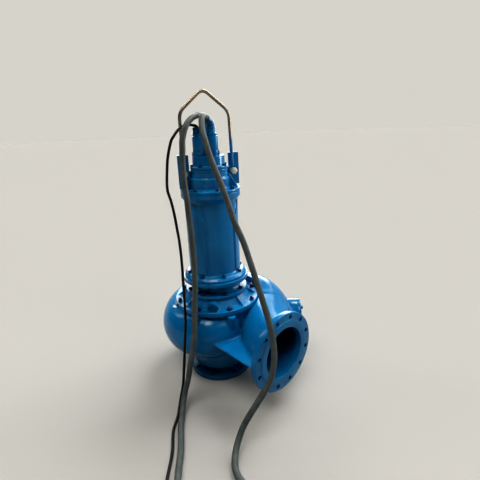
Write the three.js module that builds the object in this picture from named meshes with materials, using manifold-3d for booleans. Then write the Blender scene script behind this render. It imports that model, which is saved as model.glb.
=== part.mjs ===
// Submersible sewage pump with a screw impeller, standing on its suction ring.
// Millimetres, +Z up, discharge flange facing +X. Heights are above the floor.
// Everything is drawn round the pump shaft and then shifted as one group, so
// that the origin lies under the middle of the pump's own box.

import * as THREE from "three";
import { mergeVertices } from "three/addons/utils/BufferGeometryUtils.js";
import Module from "manifold-3d";

const wasm = await Module();
wasm.setup();

const DEG = Math.PI / 180;
const GAP = 0.3;                   // between pieces that bear on each other
const ROUND = 36;                  // sides of a large turned piece
const ROUND_SMALL = 20;            // sides of a small turned piece

// Discharge flange: DN 250, PN 10
const FLANGE_FACE_X = 480;
const FLANGE_OUTER_R = 197.5;
const FLANGE_THICK = 28;
const FLANGE_RAISED_R = 160;
const FLANGE_RAISED = 3;
const FLANGE_BORE_R = 125;
const FLANGE_BOLT_CIRCLE_R = 175;
const FLANGE_HOLE_R = 11;
const FLANGE_HOLES = 12;

// Volute casing
const MID_Z = 290;                 // centre line of the discharge
const CASE_WALL = 16;
const SPIRAL_OUTER = [             // azimuth from +X, outer radius; clockwise from above
  [-10, 228], [-24, 242], [-33, 253], [-50, 271], [-90, 293], [-128, 309], [-180, 333],
  [-270, 386], [-320, 417],
];
const SPIRAL_HALF = [93, 136];     // radial half width of the section, at its two ends
const SPIRAL_HEIGHT = [120, 141];  // half height of the passage, and of the casing below it
const SPIRAL_CROWN = [             // azimuth, half height of the casing's upper side
  [-10, 120], [-50, 123], [-90, 127], [-150, 146], [-200, 172], [-250, 188], [-290, 185], [-320, 160],
];
const SPIRAL_CORE_R = 120;
const SPIRAL_STEPS = 26;
const SECTION_STEPS = 8;
const NOZZLE_R = 141;
const BEND_HANDLE = 110;           // how far the outlet bend runs straight at both ends
const BEND_OVERLAP = 8;
const BEND_STEPS = 7;
const BEND_SIDES = 24;
const RIB_EDGE_Y = -192;           // the flat rib between the spiral and the flange
const RIB_START_X = 150;
const RIB_HALF = 7;
const NECK_R = 204;
const NECK_TOP = 416.7;
const COVER_SEAT_R = 176;
const COVER_POCKET_R = 230;        // the casing's crown stands round the cover's flange
const COVER_POCKET = 80;
const CONE = [[126, 40], [152, 66], [172, 110], [214, 190]];
const CONE_BASE_R = 122;
const INLET_R = 140;
const RING_TOP_Z = 26;
const RING_R = 170;
const SUCTION_R = 100;
const RING_BOLT_CIRCLE_R = 147.5;
const RING_HOLE_R = 11;
const RING_HOLES = 8;
const RING_HOLE_AZ = 33;

// Screw impeller
const HUB_LOW = 70;
const BLADE_STEPS = 30;
const BLADE_TURN = 430;            // degrees of helix
const BLADE_LOW = 80;
const BLADE_RISE = 220;
const BLADE_ROOT = 14;
const BLADE_TIP_LOW = 88;
const BLADE_TIP_HIGH = 150;

// Cast lugs that carry the studs of the cover flange
const LUGS = 8;
const LUG_AZ = 22.5;
const LUG_R = 20;
const LUG_ROOT_R = 150;
const LUG_LEVELS = [[-84, 232], [-30, 250], [0, 250]];  // height from the neck's top, reach

// Clean-out port on the back of the spiral
const PORT_AZ = 45;
const PORT_Z = 303;
const PORT_R = 90;
const PORT_REACH = 440;
const PORT_SIDES = 28;
const PORT_COVER_THICK = 16;

// Volute cover, oil chamber and motor, from the bottom up
const COVER_Z = 417;
const COVER_THICK = 25.5;
const COVER_R = 226;
const COVER_SPIGOT = 11.7;
const COVER_CONE_R = 183;
const COVER_TOP_R = 158;
const COVER_TOP_Z = 484;
const GUSSETS = 8;
const GUSSET_THICK = 12;
const GUSSET_REACH = 213;
const HOOD_AZ = -41.5;             // a half-round boss stands in place of one gusset
const HOOD_R = 22;
const HOOD_Z = 453;
const HOOD_REACH = 196;
const OIL_FLANGE_R = 165;
const OIL_FLANGE_TOP = 498;
const OIL_R = 119;
const OIL_TOP = 571.7;
const OIL_RIM_R = 173;
const OIL_RIM_THICK = 20;
const MOTOR_FOOT_R = 164;
const MOTOR_FOOT_TOP = 581;
const MOTOR_LEDGE_R = 151;         // the flat the foot's bolts stand on
const MOTOR_LEDGE_Z = 594;
const MOTOR_PANEL_R = 128;
const MOTOR_PAD_R = 134.5;
const MOTOR_COLLAR_Z = 984;
const MOTOR_TOP = 1015.7;
const MOTOR_TOP_R = 150;
const PAD_HALF = 53.5;             // half angle of a side pad
const PAD_HALF_TOP = 30;
const PAD_SLOPE_LOW = 888;
const PAD_SLOPE_HIGH = 946;

// Upper cover, junction box and cable entries
const CROWN_FLANGE_TOP = 1029.7;
const CROWN_FLANGE_R = 150.6;
const CROWN_STEP_Z = 1080;
const CROWN_STEP_R = 97.6;
const CROWN_NECK_R = 90;
const CROWN_TOP = 1125.7;
const BOX_R = 93;
const LID_FLANGE_TOP = 1139;
const LID_R = 80;
const LID_TOP = 1188;
const GLAND_FOOT_TOP = 1211;
const GLAND_LUG_R = 10;
const GLAND_LUG_AT = 26;
const GLAND_R = 30;
const GLAND_BODY_TOP = 1281;
const GLAND_NUT_R = 28;
const GLAND_NUT_TOP = 1290;
const GLAND_TOP = 1320;

// Lifting bail and its brackets
const BAIL_AZ = 69;
const BAIL_HALF = 125;
const BAIL_ROD_R = 8;
const BAIL_FOOT_Z = 1130;
const BAIL_BENDS = [-127, 118];    // the bail leans a little to one side
const BAIL_BEND_Z = 1389;
const BAIL_APEX_U = -8;
const BAIL_APEX_Z = 1491;
const BAIL_BEND_LENGTH = 34;
const BRACKET_WIDTH = 54;
const BRACKET_THICK = 12;
const BRACKET_TOP = 1195;
const BRACKET_BASE = 1036;
const BRACKETS = [                 // distances of each plate and bolt from the shaft
  { name: "left", side: -1, plate: -125, pin: -127 },
  { name: "right", side: 1, plate: 136, pin: 131 },
];
const EAR_THICK = 26;
const EAR_ROOT = 70;
const EAR_MARGIN = 20;
const EAR_TOP = 1132;
const PIN_Z = 1103;
const PIN_R = 10;
const PIN_HEAD_R = 16;

// Free cables: how they leave their entries, hang, and run to their coils.
// Points are from the pump shaft, at floor level. The cable meets its coil at
// the azimuth "meets", running the way that "runs" turns about the coil. A coil
// is "wide" turns across and "high" turns up, and the cable's end, in its cap,
// lies on top of it. A boot stands on the floor of its collar's mouth, and its
// line bends over at the share "knee" of its height.
const POWER_R = 13.5;
const CONTROL_R = 6.5;
const POWER_LIE = POWER_R + 0.6;   // height of the axis where it lies on the floor
const CONTROL_LIE = CONTROL_R + 0.6;
const CAP_LENGTH = 60;
const MOUTH_R = 11;                // floor of the cone-shaped mouth in a collar
const MOUTH_LIP = 3.5;
const CABLES = [
  {
    name: "control",
    radius: CONTROL_R,
    entry: [-15, -42],
    lugs: [100, 220],
    collar: 26.5,
    mouth: 8,
    boot: { tip: [-20, -62, 1330], from: 9, to: 7.5, knee: 0.8 },
    route: [
      [-27, -79, 1333], [-27, -97, 1332], [-25, -112, 1329], [-24, -134, 1320], [-24, -151, 1308],
      [-29, -176, 1279], [-32, -182, 1269], [-37, -206, 1197], [-36, -218, 1138],
      [-34, -228, 1047], [-22, -223, 995], [-9, -221, 939], [8, -224, 869], [26, -229, 799],
      [51, -243, 697], [67, -256, 628], [91, -274, 538], [112, -293, 446], [126, -323, 301],
      [129, -340, 198], [122, -350, 111], [117, -368, 38], [134, -391, 11], [174, -428, CONTROL_LIE],
      [226, -486, CONTROL_LIE], [323, -557, CONTROL_LIE], [412, -640, CONTROL_LIE],
    ],
    coil: {
      centre: [471, -805], mean: 78, wide: 4, high: 5, meets: 78.75, runs: -1,
      cap: { azimuth: 73.5, reach: 82.7 },
    },
  },
  {
    name: "power_a",
    radius: POWER_R,
    entry: [-42, 26],
    lugs: [70, 265],
    collar: 21,
    mouth: 0,
    boot: { tip: [-40, 11, 1359], from: 20, to: 15, knee: 0.58 },
    route: [
      [-31, -10, 1374], [-21, -35, 1376], [-14, -42, 1373], [3, -67, 1369], [27, -106, 1358],
      [45, -152, 1326], [51, -179, 1271], [57, -188, 1227], [59, -194, 1184], [66, -200, 1097],
      [75, -199, 1007], [78, -200, 961], [87, -200, 868], [92, -202, 821], [104, -209, 726],
      [119, -223, 633], [135, -244, 541], [152, -268, 451], [167, -291, 360], [170, -305, 313],
      [169, -320, 265], [155, -339, 154], [148, -358, 90], [165, -386, 44], [199, -420, 18],
      [245, -458, POWER_LIE], [344, -527, POWER_LIE], [419, -590, POWER_LIE], [489, -648, POWER_LIE],
      [554, -712, POWER_LIE],
    ],
    coil: {
      centre: [795, -655], mean: 162, wide: 3, high: 3, meets: 225, runs: 1,
      cap: { azimuth: 31.3, reach: 132.8 },
    },
  },
  {
    name: "power_b",
    radius: POWER_R,
    entry: [20, 12],
    lugs: [50, 255],
    collar: 21,
    mouth: 0,
    boot: { tip: [23, -11, 1358], from: 20, to: 15, knee: 0.58 },
    route: [
      [38, -46, 1370], [73, -73, 1368], [107, -108, 1358], [147, -139, 1299],
      [172, -147, 1259], [190, -149, 1218], [207, -148, 1181], [227, -147, 1140], [246, -144, 1100],
      [281, -137, 1017], [309, -131, 935], [350, -122, 852], [387, -121, 770], [424, -123, 689],
      [461, -125, 608], [497, -128, 527], [528, -137, 447], [549, -155, 368], [556, -188, 290],
      [541, -244, 213], [528, -282, 162], [511, -317, 97], [522, -365, 44], [549, -403, 20],
      [586, -431, POWER_LIE], [630, -443, POWER_LIE], [695, -434, POWER_LIE], [763, -398, POWER_LIE],
      [825, -338, POWER_LIE], [882, -257, POWER_LIE], [943, -187, POWER_LIE], [1005, -150, POWER_LIE],
    ],
    coil: {
      centre: [1098, -361], mean: 162, wide: 3, high: 3, meets: 90, runs: -1,
      cap: { azimuth: -0.4, reach: 151.6 },
    },
  },
];

const paint = { color: 0x0d5fa6, roughness: 0.35, metalness: 0.1 };
const steel = { color: 0xb8b2a8, roughness: 0.35, metalness: 0.9 };
const rubber = { color: 0x55595a, roughness: 0.6, metalness: 0.0 };

// Joins a geometry's shared points, drops slivers and turns its faces outwards.
function closedMesh(geometry) {
  const bare = geometry.clone();
  bare.deleteAttribute("normal");
  bare.deleteAttribute("uv");
  const merged = mergeVertices(bare, 1e-4);
  const at = merged.attributes.position;
  const source = merged.index.array;
  const kept = [];
  const [a, b, c] = [new THREE.Vector3(), new THREE.Vector3(), new THREE.Vector3()];
  let volume = 0;
  for (let i = 0; i < source.length; i += 3) {
    const corner = [source[i], source[i + 1], source[i + 2]];
    if (new Set(corner).size < 3) continue;
    kept.push(...corner);
    a.fromBufferAttribute(at, corner[0]);
    b.fromBufferAttribute(at, corner[1]);
    c.fromBufferAttribute(at, corner[2]);
    volume += a.dot(b.cross(c));
  }
  if (volume < 0) kept.reverse();
  merged.setIndex(kept);
  return merged;
}

function solid(geometry) {
  const mesh = closedMesh(geometry);
  return new wasm.Manifold(new wasm.Mesh({
    numProp: 3,
    vertProperties: new Float32Array(mesh.attributes.position.array),
    triVerts: new Uint32Array(mesh.index.array),
  }));
}

function geometryOf(body) {
  const mesh = body.getMesh();
  const geometry = new THREE.BufferGeometry();
  geometry.setAttribute("position", new THREE.BufferAttribute(mesh.vertProperties, 3));
  geometry.setIndex(new THREE.BufferAttribute(mesh.triVerts, 1));
  return geometry;
}

function join(...bodies) {
  return bodies.reduce((whole, body) => whole.add(body));
}

function cut(body, ...tools) {
  return tools.reduce((rest, tool) => rest.subtract(tool), body);
}

// A turned solid about Z from [radius, height] points, first and last on the axis or closing.
function turned(profile, sides = ROUND) {
  const points = profile.map(([r, z]) => new THREE.Vector2(r, z));
  return new THREE.LatheGeometry(points, sides).rotateX(Math.PI / 2);
}

function disc(radius, low, high, sides = ROUND) {
  return turned([[0, low], [radius, low], [radius, high], [0, high]], sides);
}

function ring(inner, outer, low, high, sides = ROUND) {
  return turned([[inner, low], [outer, low], [outer, high], [inner, high], [inner, low]], sides);
}

function block(x0, x1, y0, y1, z0, z1) {
  return new THREE.BoxGeometry(x1 - x0, y1 - y0, z1 - z0)
    .translate((x0 + x1) / 2, (y0 + y1) / 2, (z0 + z1) / 2);
}

// Skins a list of rings of points, each closed on itself, and caps both ends.
function loft(rings) {
  const count = rings[0].length;
  const positions = rings.flat().flatMap((p) => [p.x, p.y, p.z]);
  const index = [];
  for (let i = 0; i + 1 < rings.length; i += 1) {
    for (let j = 0; j < count; j += 1) {
      const k = (j + 1) % count;
      const [p, q, r, s] = [i * count + j, i * count + k, (i + 1) * count + j, (i + 1) * count + k];
      index.push(p, q, r, q, s, r);
    }
  }
  const last = (rings.length - 1) * count;
  for (let j = 1; j + 1 < count; j += 1) {
    index.push(0, j + 1, j);
    index.push(last, last + j, last + j + 1);
  }
  const geometry = new THREE.BufferGeometry();
  geometry.setAttribute("position", new THREE.Float32BufferAttribute(positions, 3));
  geometry.setIndex(index);
  return geometry;
}

// A round bar along a curve, as an extruded polygon.
function bar(path, radius, sides, steps) {
  const section = new THREE.Shape(Array.from({ length: sides }, (_, i) => new THREE.Vector2(
    radius * Math.cos((2 * Math.PI * i) / sides),
    radius * Math.sin((2 * Math.PI * i) / sides),
  )));
  return new THREE.ExtrudeGeometry(section, { steps, extrudePath: path });
}

function polar(radius, azimuth, z = 0) {
  return new THREE.Vector3(radius * Math.cos(azimuth * DEG), radius * Math.sin(azimuth * DEG), z);
}

const pump = new THREE.Group();
const cords = new THREE.Group();

function add(name, shape, look, group = pump) {
  const geometry = shape.isBufferGeometry ? closedMesh(shape) : geometryOf(shape);
  const mesh = new THREE.Mesh(geometry, new THREE.MeshStandardMaterial(look));
  mesh.name = name;
  group.add(mesh);
  return mesh;
}

// A table's value at an azimuth, along the straight steps between its rows.
function along(table, azimuth) {
  const i = table.findIndex(([stop]) => stop <= azimuth + 1e-6);
  const [to, end] = table[Math.max(i, 1)];
  const [from, start] = table[Math.max(i, 1) - 1];
  return start + ((end - start) * (azimuth - from)) / (to - from);
}

const SPIRAL_FROM = SPIRAL_OUTER[0][0];
const SPIRAL_TO = SPIRAL_OUTER.at(-1)[0];

// The spiral as a loft of D-shaped sections: flat towards the shaft, two quarters of an ellipse
// outside. The casing has a higher crown than the passage.
function spiral(wall) {
  const rings = Array.from({ length: SPIRAL_STEPS + 1 }, (_, i) => {
    const share = i / SPIRAL_STEPS;
    const azimuth = SPIRAL_FROM + (SPIRAL_TO - SPIRAL_FROM) * share;
    const half = THREE.MathUtils.lerp(...SPIRAL_HALF, share);
    const height = THREE.MathUtils.lerp(...SPIRAL_HEIGHT, share) - wall;
    const crown = wall ? height : along(SPIRAL_CROWN, azimuth);
    const centre = along(SPIRAL_OUTER, azimuth) - half;
    const section = [[SPIRAL_CORE_R - wall, -height]];
    for (let j = 0; j <= SECTION_STEPS; j += 1) {
      const angle = (-90 + (180 * j) / SECTION_STEPS) * DEG;
      const reach = angle > 0 ? crown : height;
      section.push([centre + (half - wall) * Math.cos(angle), reach * Math.sin(angle)]);
    }
    section.push([SPIRAL_CORE_R - wall, crown]);
    return section.map(([r, z]) => polar(r, azimuth, MID_Z + z));
  });
  return solid(loft(rings));
}

// The outlet bend, from the end of the spiral to the back of the discharge flange.
function outletBend(wall, endX) {
  const heading = polar(1, SPIRAL_TO - 90);
  const start = polar(SPIRAL_OUTER.at(-1)[1] - SPIRAL_HALF[1], SPIRAL_TO, MID_Z)
    .addScaledVector(heading, -BEND_OVERLAP);
  const end = new THREE.Vector3(endX, 0, MID_Z);
  const path = new THREE.CubicBezierCurve3(
    start,
    start.clone().addScaledVector(heading, BEND_HANDLE),
    end.clone().add(new THREE.Vector3(-BEND_HANDLE, 0, 0)),
    end,
  );
  const rings = Array.from({ length: BEND_STEPS + 1 }, (_, i) => {
    const share = i / BEND_STEPS;
    const centre = path.getPoint(share);
    const across = path.getTangent(share).cross(new THREE.Vector3(0, 0, 1)).normalize();
    const half = THREE.MathUtils.lerp(SPIRAL_HALF[1], NOZZLE_R, share) - wall;
    const crown = wall ? NOZZLE_R - wall : THREE.MathUtils.lerp(SPIRAL_CROWN.at(-1)[1], NOZZLE_R, share);
    return Array.from({ length: BEND_SIDES }, (_, k) => {
      const angle = (2 * Math.PI * k) / BEND_SIDES;
      const reach = Math.sin(angle) > 0 ? crown : NOZZLE_R - wall;
      return centre.clone()
        .addScaledVector(across, half * Math.cos(angle))
        .add(new THREE.Vector3(0, 0, reach * Math.sin(angle)));
    });
  });
  return solid(loft(rings));
}

// A cast lug with a round nose, drawn in under its top.
function studLug(azimuth) {
  const outlines = LUG_LEVELS.map(([drop, reach]) => [
    new THREE.Vector3(LUG_ROOT_R, LUG_R, NECK_TOP + drop),
    new THREE.Vector3(LUG_ROOT_R, -LUG_R, NECK_TOP + drop),
    ...Array.from({ length: 9 }, (_, i) => polar(LUG_R, -90 + 22.5 * i, NECK_TOP + drop)
      .add(new THREE.Vector3(reach - LUG_R, 0, 0))),
  ]);
  return solid(loft(outlines).rotateZ(azimuth * DEG));
}

function alongX(geometry, y, z) {
  return geometry.rotateY(Math.PI / 2).translate(0, y, z);
}

function radialDisc(radius, near, far, azimuth, z, sides) {
  return alongX(disc(radius, near, far, sides), 0, z).rotateZ(azimuth * DEG);
}

function voluteCasing() {
  const nozzleEnd = FLANGE_FACE_X - FLANGE_RAISED - FLANGE_THICK - GAP;
  const [, coneTop] = CONE.at(-1);
  const outside = join(
    spiral(0),
    outletBend(0, nozzleEnd),
    solid(disc(NECK_R, coneTop - 4, NECK_TOP)),
    solid(turned([[0, RING_TOP_Z + GAP], [CONE_BASE_R, RING_TOP_Z + GAP], ...CONE, [0, coneTop]])),
    solid(radialDisc(PORT_R, 200, PORT_REACH, PORT_AZ, PORT_Z, PORT_SIDES)),
    solid(block(RIB_START_X, nozzleEnd, RIB_EDGE_Y, 0, MID_Z - RIB_HALF, MID_Z + RIB_HALF)),
    ...Array.from({ length: LUGS }, (_, i) => studLug(LUG_AZ + (360 * i) / LUGS)),
  );
  const inside = join(
    spiral(CASE_WALL),
    outletBend(CASE_WALL, nozzleEnd + 1),
    solid(disc(COVER_SEAT_R, MID_Z, NECK_TOP + 1)),
    solid(turned([[0, 0], [SUCTION_R, 0], [SUCTION_R, 60], [INLET_R, coneTop],
      [INLET_R, MID_Z], [0, MID_Z]])),
  );
  const seat = solid(disc(COVER_POCKET_R, NECK_TOP, NECK_TOP + COVER_POCKET));
  add("volute_casing", cut(outside, inside, seat), paint);
}

function boltHoles(count, circle, radius, low, high, first) {
  return Array.from({ length: count }, (_, i) => {
    const at = polar(circle, first + (360 * i) / count);
    return solid(disc(radius, low, high, 10).translate(at.x, at.y, 0));
  });
}

function dischargeFlange() {
  const back = FLANGE_FACE_X - FLANGE_RAISED - FLANGE_THICK;
  const body = solid(turned([[FLANGE_BORE_R, back], [FLANGE_OUTER_R, back],
    [FLANGE_OUTER_R, back + FLANGE_THICK], [FLANGE_RAISED_R, back + FLANGE_THICK],
    [FLANGE_RAISED_R, FLANGE_FACE_X], [FLANGE_BORE_R, FLANGE_FACE_X], [FLANGE_BORE_R, back]]));
  const holes = boltHoles(FLANGE_HOLES, FLANGE_BOLT_CIRCLE_R, FLANGE_HOLE_R,
    back - 1, FLANGE_FACE_X + 1, 180 / FLANGE_HOLES);
  add("discharge_flange", alongX(geometryOf(cut(body, ...holes)), 0, MID_Z), paint);
}

function suctionRing() {
  const body = solid(turned([[SUCTION_R, 0], [RING_R, 0], [RING_R, RING_TOP_Z],
    [SUCTION_R, RING_TOP_Z], [SUCTION_R, 0]]));
  const holes = boltHoles(RING_HOLES, RING_BOLT_CIRCLE_R, RING_HOLE_R, -1, RING_TOP_Z + 1, RING_HOLE_AZ);
  add("suction_ring", cut(body, ...holes), paint);
}

// One blade wound as a helix on a tapering hub, hung from the shaft end.
function impeller() {
  const hub = solid(turned([[0, HUB_LOW], [26, HUB_LOW + 14], [46, 180], [62, 300], [62, COVER_Z - 12],
    [0, COVER_Z - 12]], 24));
  const rings = [];
  for (let i = 0; i <= BLADE_STEPS; i += 1) {
    const share = i / BLADE_STEPS;
    const azimuth = -BLADE_TURN * share;
    const z = BLADE_LOW + BLADE_RISE * share;
    const tip = BLADE_TIP_LOW + (BLADE_TIP_HIGH - BLADE_TIP_LOW) * share ** 1.5;
    rings.push([
      polar(BLADE_ROOT, azimuth, z - 9),
      polar(tip, azimuth, z - 5),
      polar(tip, azimuth, z + 5),
      polar(BLADE_ROOT, azimuth, z + 9),
    ]);
  }
  add("impeller", join(hub, solid(loft(rings))), paint);
}

function portCover() {
  add("clean_out_cover",
    radialDisc(PORT_R, PORT_REACH + GAP, PORT_REACH + GAP + PORT_COVER_THICK, PORT_AZ, PORT_Z, PORT_SIDES),
    paint);
}

function voluteCover() {
  const top = COVER_Z + COVER_THICK;
  const low = COVER_Z - COVER_SPIGOT;
  const body = solid(turned([[0, low], [COVER_SEAT_R - GAP, low], [COVER_SEAT_R - GAP, COVER_Z],
    [COVER_R, COVER_Z], [COVER_R, top - 3], [COVER_R - 3, top], [COVER_CONE_R, top],
    [COVER_TOP_R, COVER_TOP_Z - 8], [COVER_TOP_R, COVER_TOP_Z], [0, COVER_TOP_Z]]));
  const web = new THREE.Shape([
    new THREE.Vector2(COVER_TOP_R - 12, top - 4),
    new THREE.Vector2(GUSSET_REACH, top - 4),
    new THREE.Vector2(GUSSET_REACH, top + 3),
    new THREE.Vector2(COVER_TOP_R + 5, COVER_TOP_Z - 3),
    new THREE.Vector2(COVER_TOP_R - 12, COVER_TOP_Z - 3),
  ]);
  const gussets = Array.from({ length: GUSSETS - 1 }, (_, i) => solid(
    new THREE.ExtrudeGeometry(web, { depth: GUSSET_THICK, bevelEnabled: false })
      .translate(0, 0, -GUSSET_THICK / 2)
      .rotateX(Math.PI / 2)
      .rotateZ(((360 * i) / GUSSETS) * DEG),
  ));
  const hood = join(
    solid(radialDisc(HOOD_R, COVER_TOP_R - 12, HOOD_REACH, HOOD_AZ, HOOD_Z, 16)),
    solid(block(COVER_TOP_R - 12, HOOD_REACH, -HOOD_R, HOOD_R, top - 4, HOOD_Z)
      .rotateZ(HOOD_AZ * DEG)),
  );
  const under = solid(disc(COVER_R, COVER_Z - HOOD_R, top - 5));
  add("volute_cover", join(body, cut(join(...gussets, hood), under)), paint);
}

function oilChamber() {
  add("oil_chamber", turned([[0, COVER_TOP_Z + GAP], [OIL_FLANGE_R, COVER_TOP_Z + GAP],
    [OIL_FLANGE_R, OIL_FLANGE_TOP - 2], [OIL_FLANGE_R - 2, OIL_FLANGE_TOP], [OIL_R, OIL_FLANGE_TOP],
    [OIL_R, OIL_TOP - OIL_RIM_THICK], [OIL_RIM_R, OIL_TOP - OIL_RIM_THICK],
    [OIL_RIM_R, OIL_TOP - 2], [OIL_RIM_R - 2, OIL_TOP], [0, OIL_TOP]]), paint);
}

// The motor casing is round, with two raised side pads whose upper corners slope off.
function motorCasing() {
  const low = OIL_TOP + GAP;
  const body = solid(turned([[0, low], [MOTOR_FOOT_R, low], [MOTOR_FOOT_R, MOTOR_FOOT_TOP],
    [MOTOR_LEDGE_R, MOTOR_LEDGE_Z], [MOTOR_PAD_R, MOTOR_LEDGE_Z + 3],
    [MOTOR_PANEL_R, MOTOR_LEDGE_Z + 10],
    [MOTOR_PANEL_R, MOTOR_COLLAR_Z - 16], [MOTOR_PAD_R + 4, MOTOR_COLLAR_Z],
    [MOTOR_TOP_R - 4, MOTOR_COLLAR_Z + 4], [MOTOR_TOP_R, MOTOR_COLLAR_Z + 14],
    [MOTOR_TOP_R, MOTOR_TOP], [0, MOTOR_TOP]]));
  const levels = [
    [MOTOR_LEDGE_Z - 6, PAD_HALF],
    [PAD_SLOPE_LOW, PAD_HALF],
    [PAD_SLOPE_HIGH, PAD_HALF_TOP],
    [MOTOR_COLLAR_Z - 4, PAD_HALF_TOP],
  ];
  const pads = [0, 180].map((side) => {
    const rings = levels.map(([z, half]) => {
      const outline = [polar(MOTOR_PANEL_R - 20, BAIL_AZ + side - half, z)];
      const cells = 12;
      for (let i = 0; i <= cells; i += 1) {
        outline.push(polar(MOTOR_PAD_R, BAIL_AZ + side - half + (2 * half * i) / cells, z));
      }
      outline.push(polar(MOTOR_PANEL_R - 20, BAIL_AZ + side + half, z));
      return outline;
    });
    return solid(loft(rings));
  });
  add("motor_casing", join(body, ...pads), paint);
}

// Upper cover with the neck, the box flange and one ear under each bracket.
function crownCover() {
  const low = MOTOR_TOP + GAP;
  const body = solid(turned([[0, low], [CROWN_FLANGE_R, low], [CROWN_FLANGE_R, CROWN_FLANGE_TOP - 2],
    [CROWN_FLANGE_R - 2, CROWN_FLANGE_TOP], [CROWN_STEP_R + 4, CROWN_FLANGE_TOP],
    [CROWN_STEP_R, CROWN_FLANGE_TOP + 4], [CROWN_STEP_R, CROWN_STEP_Z],
    [CROWN_NECK_R, CROWN_STEP_Z + 6], [CROWN_NECK_R, CROWN_TOP - 13], [BOX_R, CROWN_TOP - 12],
    [BOX_R, CROWN_TOP], [0, CROWN_TOP]]));
  const back = -BAIL_ROD_R - GAP - BRACKET_THICK - GAP;
  const ears = BRACKETS.map(({ side, pin }) => {
    const outer = Math.abs(pin) + EAR_MARGIN;
    const profile = new THREE.Shape([
      new THREE.Vector2(EAR_ROOT, CROWN_FLANGE_TOP - 4),
      new THREE.Vector2(outer - 2, CROWN_FLANGE_TOP - 4),
      new THREE.Vector2(outer, PIN_Z),
      new THREE.Vector2(outer - 8, EAR_TOP - 6),
      new THREE.Vector2(outer - EAR_MARGIN, EAR_TOP),
      new THREE.Vector2(outer - 1.8 * EAR_MARGIN, EAR_TOP - 6),
      new THREE.Vector2(EAR_ROOT, CROWN_STEP_Z + 20),
    ]);
    const plate = new THREE.ExtrudeGeometry(profile, { depth: EAR_THICK, bevelEnabled: false })
      .rotateX(Math.PI / 2)
      .scale(side, 1, 1)
      .translate(0, -back + EAR_THICK, 0);
    return cut(solid(plate.rotateZ(BAIL_AZ * DEG)), solid(pinShaft(pin, PIN_R + GAP, 0, 90)));
  });
  add("upper_cover", join(body, ...ears), paint);
}

// A cylinder across the bail's plane, through a bracket's pin centre.
function pinShaft(pin, radius, near, far) {
  return disc(radius, near, far, 12)
    .rotateX(-Math.PI / 2)
    .translate(pin, 0, PIN_Z)
    .rotateZ(BAIL_AZ * DEG);
}

function junctionLid() {
  add("junction_lid", turned([[0, CROWN_TOP + GAP], [BOX_R, CROWN_TOP + GAP], [BOX_R, LID_FLANGE_TOP - 2],
    [BOX_R - 2, LID_FLANGE_TOP], [LID_R, LID_FLANGE_TOP], [LID_R - 1.5, LID_TOP - 3],
    [LID_R - 5, LID_TOP], [0, LID_TOP]]), paint);
}

function cableEntry(cable) {
  const { name, entry: [x, y], lugs, collar, mouth, boot } = cable;
  const low = LID_TOP + GAP;
  const foot = join(
    solid(disc(GLAND_R, low, GLAND_FOOT_TOP, ROUND_SMALL).translate(x, y, 0)),
    ...lugs.map((azimuth) => solid(disc(GLAND_LUG_R, low, GLAND_FOOT_TOP, 12)
      .translate(GLAND_LUG_AT, 0, 0).rotateZ(azimuth * DEG).translate(x, y, 0))),
  );
  add(`${name}_gland_foot`, foot, paint);
  add(`${name}_gland_body`, turned([[0, GLAND_FOOT_TOP + GAP], [GLAND_R, GLAND_FOOT_TOP + GAP],
    [GLAND_R - 1, GLAND_BODY_TOP - 3], [GLAND_NUT_R - 2, GLAND_BODY_TOP], [GLAND_NUT_R, GLAND_BODY_TOP + 2],
    [GLAND_NUT_R, GLAND_NUT_TOP], [0, GLAND_NUT_TOP]], ROUND_SMALL).translate(x, y, 0), paint);
  add(`${name}_gland_collar`, turned([[0, GLAND_NUT_TOP + GAP], [collar, GLAND_NUT_TOP + GAP],
    [collar, GLAND_TOP - 2], [collar - 2, GLAND_TOP], [collar - MOUTH_LIP, GLAND_TOP],
    [MOUTH_R, GLAND_TOP - mouth], [0, GLAND_TOP - mouth]], ROUND_SMALL)
    .translate(x, y, 0), paint);
  add(`${name}_strain_relief`, strainRelief(sleeveAxis(cable), boot), paint);
}

// The line of a cable's sleeve: upright out of the gland, leaning over towards its tip.
function sleeveAxis({ entry: [x, y], mouth, boot: { tip, knee: share } }) {
  const base = new THREE.Vector3(x, y, GLAND_TOP - mouth + GAP);
  const end = new THREE.Vector3(...tip);
  const knee = new THREE.Vector3(x, y, base.z + share * (end.z - base.z));
  return new THREE.QuadraticBezierCurve3(base, knee, end);
}

function strainRelief(axis, { from, to }) {
  const across = new THREE.Vector3(1, 0, 0);
  const rings = Array.from({ length: 6 }, (_, i) => {
    const share = i / 5;
    const tangent = axis.getTangent(share);
    const v = new THREE.Vector3().crossVectors(tangent, across).normalize();
    const u = new THREE.Vector3().crossVectors(v, tangent);
    const radius = from + (to - from) * share;
    return Array.from({ length: 12 }, (_, k) => axis.getPoint(share)
      .addScaledVector(u, radius * Math.cos((k * Math.PI) / 6))
      .addScaledVector(v, radius * Math.sin((k * Math.PI) / 6)));
  });
  return loft(rings);
}

// The cable's line, from the tip of its sleeve to where it lies against its coil.
function cablePath(cable) {
  const { radius, route, coil } = cable;
  const axis = sleeveAxis(cable);
  const start = axis.getPoint(1).addScaledVector(axis.getTangent(1), GAP);
  const second = start.clone().addScaledVector(axis.getTangent(1), radius / 2);
  const heading = polar(1, coil.meets + 90 * coil.runs);
  const end = polar(coil.mean + coil.wide * radius + radius + GAP, coil.meets, radius)
    .add(new THREE.Vector3(...coil.centre, 0));
  const lead = end.clone().addScaledVector(heading, -3 * radius);
  const points = [start, second, ...route.map((p) => new THREE.Vector3(...p)), lead, end];
  return new THREE.CatmullRomCurve3(points, false, "centripetal");
}

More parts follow.
